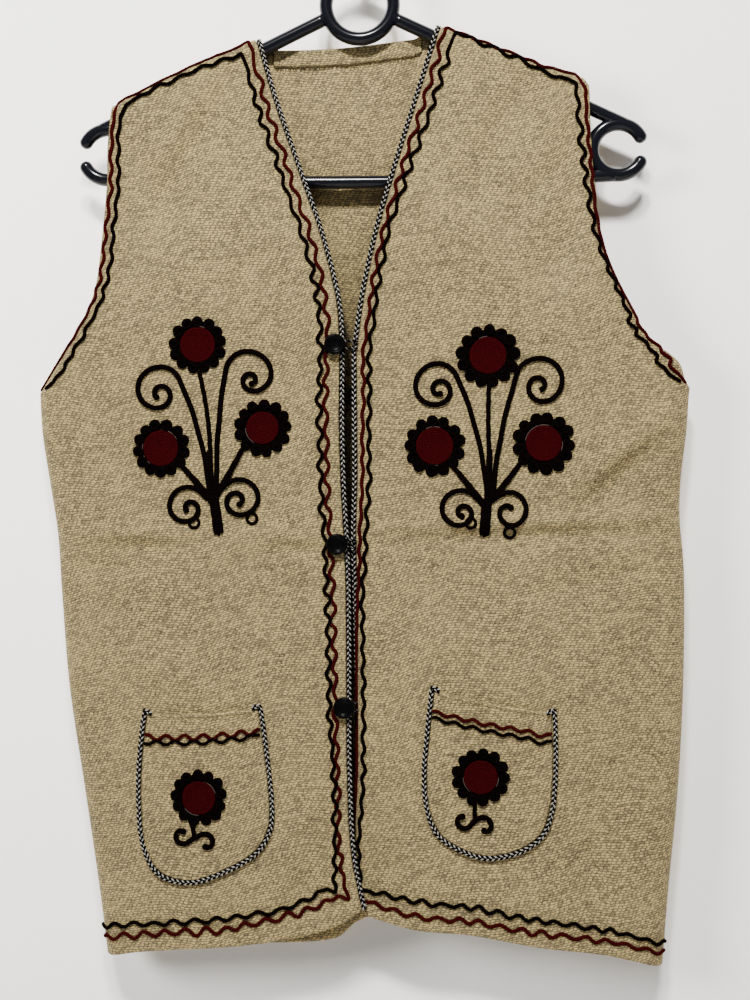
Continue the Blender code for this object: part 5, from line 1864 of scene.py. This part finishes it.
class VEST_OT_hanger(VestOperator, bpy.types.Operator):
    """Build the moulded hanger: hook, neck ring, arms, end notches and bar as one smooth piece"""

    bl_idname = "vest.hanger"
    bl_label = "Hanger"

    def tube(self, bundle, line, radius, closed=False, rounded=(False, False)):
        runs = directions(line, closed)
        sizes_along = [radius] * len(line)
        for end, at_start in zip(rounded, (True, False)):
            if end:
                line, runs, sizes_along = self.tip(line, runs, sizes_along, radius, at_start)
        ups = [Vector((0.0, 1.0, 0.0))] * len(line)
        outs = square_to(ups, runs)
        bundle.cord(line, outs, ups, sizes_along, sizes_along, TUBE_SIDES, 0, closed)

    def tip(self, line, runs, sizes_along, radius, at_start):
        """A ball end on a tube."""
        run = -runs[0] if at_start else runs[-1]
        end = line[0] if at_start else line[-1]
        steps = [(math.sin(a), math.cos(a)) for a in (math.radians(d) for d in range(12, 90, 13))]
        extra = [end + run * (radius * s) for s, _ in steps]
        more = [radius * c for _, c in steps]
        along = [runs[0] if at_start else runs[-1]] * len(extra)
        if at_start:
            return extra[::-1] + line, along + runs, more[::-1] + sizes_along
        return line + extra, runs + along, sizes_along + more

    def execute(self, context):
        bundle = Bundle()
        self.tube(bundle, arc(RING_CENTRE, RING_RADIUS, 0.0, 355.0, 71), RING_TUBE_RADIUS, True)
        tail = [Vector((x, 0.0, z)) for x, z in HOOK_TAIL]
        hook = arc(HOOK_CENTRE, HOOK_RADIUS, 195.0, -40.0, 60) + tail
        hook, _ = evenly(hook, [Vector((0, 1, 0))] * len(hook), 0.0018)
        hook = hook[:55] + relaxed(hook[55:], 6)
        self.tube(bundle, hook, HOOK_TUBE_RADIUS, rounded=(True, False))
        for centre, hand in ((NOTCH_LEFT, -1), (NOTCH_RIGHT, 1)):
            inner = arm_point(centre, hand, hand * (RING_RADIUS - 0.001))
            outer = notch_tangent(centre, hand)
            outer = arm_point(centre, hand, outer.x - hand * 0.001)
            self.tube(bundle, [inner.lerp(outer, n / 30) for n in range(31)], TUBE_RADIUS)
            middle = 0.0 if hand > 0 else 180.0
            start = middle + NOTCH_MOUTH_HALF_ANGLE
            ring = arc(centre, NOTCH_RADIUS, start, start + 360 - 2 * NOTCH_MOUTH_HALF_ANGLE, 60)
            self.tube(bundle, ring, NOTCH_TUBE_RADIUS, rounded=(True, True))
        ends = (NOTCH_LEFT.x, NOTCH_RIGHT.x)
        cuts = [ends[0] + (ends[1] - ends[0]) * n / 48 for n in range(49)]
        self.tube(bundle, [Vector((x, 0.0, bar_z(x))) for x in cuts], TUBE_RADIUS)
        nodes = ["neck_ring", "hook", "arm_left", "arm_right", "end_left", "end_right", "bar"]
        nodes = ["hanger_" + name for name in nodes]
        bundle.make("moulded_hanger", [finish_of("hanger")], "hanger_black", nodes)
        return {"FINISHED"}


# Studio

WALL_Y = 0.026
FLOOR_Z = -1.9
ROOM_TOP = 1.6
ROOM_FRONT = -3.0
ROOM_HALF_WIDTH = 2.2
CAMERA_AIM = Vector((0.01134, 0.0, -0.4514))
VIEW_HEIGHT = 0.74
SENSOR = 36.0
# power names the setting that a lamp takes a share of; lit names a collection and its pieces
Lamp = namedtuple("Lamp", "name power share place aim size colour lit")
VEST_MIDDLE, WALL_MIDDLE = (0.0, 0.0, -0.42), (-0.15, 0.0, -0.25)
WARM = (1.0, 0.985, 0.965)
REAR = ("rear", "cloth_back", "waves_back", "moulded_hanger")
LAMPS = (
    Lamp("key", "key_power", 1.0, (-0.22, -1.65, 1.25), VEST_MIDDLE, 0.26, (1.0, 0.98, 0.95), ()),
    Lamp("wall_light", "wall_power", 0.6, (0.15, -1.45, 0.95), WALL_MIDDLE, 0.26, WARM, ("backdrop", "wall")),
    Lamp("wall_fill", "wall_power", 0.4, (-1.1, -0.9, -0.1), WALL_MIDDLE, 0.6, WARM, ("backdrop", "wall")),
    Lamp("behind", "key_power", 0.7, (0.4, 1.6, 0.7), VEST_MIDDLE, 1.2, (1.0, 0.98, 0.96), REAR),
)


class VEST_OT_studio(VestOperator, bpy.types.Operator):
    """Set the plain pale wall and floor, the soft lights and the camera"""

    bl_idname = "vest.studio"
    bl_label = "Studio"

    def execute(self, context):
        studio = context.scene.vest_studio
        self.backdrop()
        self.lights(context, studio)
        self.camera(context, studio)
        return {"FINISHED"}

    def plaster(self):
        """A pale finish that is clear from behind."""
        material, tree = fresh("pale_plaster")
        grain = spread(speckle(node(tree, "TexCoord", "Object"), 180.0, 5.0, 0.6), 0.3, 0.7)
        tone = colours().backdrop
        shader = tree.nodes["Principled BSDF"]
        fill(shader, {"Base Color": blended(grain, scaled(tone, 0.985), tone), "Roughness": 0.9})
        behind = node(tree, "NewGeometry", "Backfacing")
        clear = node(tree, "BsdfTransparent", 0)
        mixed = node(tree, "MixShader", 0, {0: behind, 1: Wire(shader.outputs[0]), 2: clear})
        fill(tree.nodes["Material Output"], {"Surface": mixed})
        return material

    def backdrop(self):
        material = self.plaster()
        sides = (-ROOM_HALF_WIDTH, ROOM_HALF_WIDTH)
        for name, ends in (
            ("wall", ((WALL_Y, FLOOR_Z), (WALL_Y, ROOM_TOP))),
            ("floor", ((ROOM_FRONT, FLOOR_Z), (WALL_Y, FLOOR_Z))),
        ):
            (y0, z0), (y1, z1) = ends
            corners = [(x, y0, z0) for x in sides] + [(x, y1, z1) for x in reversed(sides)]
            mesh = bpy.data.meshes.new(name)
            mesh.from_pydata(corners, [], [(0, 1, 2, 3)])
            mesh.materials.append(material)
            piece = bpy.data.objects.new(name, mesh)
            bpy.context.scene.collection.objects.link(piece)
            piece.visible_shadow = False

    def lights(self, context, studio):
        for lamp in LAMPS:
            light = bpy.data.lights.new(lamp.name, "AREA")
            light.shape = "DISK"
            light.size = lamp.size
            light.energy = getattr(studio, lamp.power) * lamp.share
            light.color = lamp.colour
            piece = bpy.data.objects.new(lamp.name, light)
            piece.location = lamp.place
            piece.rotation_euler = (Vector(lamp.aim) - Vector(lamp.place)).to_track_quat("-Z", "Y").to_euler()
            context.scene.collection.objects.link(piece)
            if lamp.lit:
                piece.light_linking.receiver_collection = self.lit(*lamp.lit)
        world = bpy.data.worlds.new("studio_surround")
        context.scene.world = world
        world.use_nodes = True
        surround = {"Color": (1.0, 0.985, 0.965, 1.0), "Strength": studio.surround}
        fill(world.node_tree.nodes["Background"], surround)

    def lit(self, name, *pieces):
        """The collection of the pieces that a lamp lights alone."""
        group = bpy.data.collections.get(name)
        if not group:
            group = bpy.data.collections.new(name)
            for piece in pieces:
                if piece in bpy.data.objects:
                    group.objects.link(bpy.data.objects[piece])
        return group

    def camera(self, context, studio):
        data = bpy.data.cameras.new("camera")
        camera = bpy.data.objects.new("camera", data)
        context.scene.collection.objects.link(camera)
        back = Vector((math.sin(studio.azimuth), -math.cos(studio.azimuth), 0.0))
        camera.location = CAMERA_AIM + back * studio.distance
        camera.rotation_euler = (-back).to_track_quat("-Z", "Y").to_euler()
        data.sensor_fit = "AUTO"
        data.sensor_width = SENSOR
        data.lens = SENSOR * studio.distance / VIEW_HEIGHT
        context.scene.camera = camera


class VEST_PT_panel(bpy.types.Panel):
    bl_label = "Folk vest"
    bl_idname = "VEST_PT_panel"
    bl_space_type = "VIEW_3D"
    bl_region_type = "UI"
    bl_category = "Vest"

    def draw(self, context):
        for group in (context.scene.vest_sizes, context.scene.vest_colours, context.scene.vest_studio):
            box = self.layout.box()
            for name in group.bl_rna.properties.keys():
                if name not in ("rna_type", "name"):
                    box.prop(group, name)
        for operator in OPERATORS:
            self.layout.operator(operator.bl_idname)


OPERATORS = (
    VEST_OT_fronts, VEST_OT_back, VEST_OT_pockets, VEST_OT_braids, VEST_OT_loops,
    VEST_OT_buttons, VEST_OT_wave_lines, VEST_OT_flowers, VEST_OT_hanger, VEST_OT_studio,
)
CLASSES = (VestSizes, VestColours, VestStudio) + OPERATORS + (VEST_PT_panel,)


def register():
    for each in CLASSES:
        bpy.utils.register_class(each)
    bpy.types.Scene.vest_sizes = bpy.props.PointerProperty(type=VestSizes)
    bpy.types.Scene.vest_colours = bpy.props.PointerProperty(type=VestColours)
    bpy.types.Scene.vest_studio = bpy.props.PointerProperty(type=VestStudio)


def unregister():
    del bpy.types.Scene.vest_studio
    del bpy.types.Scene.vest_colours
    del bpy.types.Scene.vest_sizes
    for each in reversed(CLASSES):
        bpy.utils.unregister_class(each)


def main():
    register()
    bpy.ops.vest.fronts()
    bpy.ops.vest.back()
    bpy.ops.vest.pockets()
    bpy.ops.vest.braids()
    bpy.ops.vest.loops()
    bpy.ops.vest.buttons()
    bpy.ops.vest.wave_lines()
    bpy.ops.vest.flowers()
    bpy.ops.vest.hanger()
    bpy.ops.vest.studio()


if __name__ == "__main__":
    main()
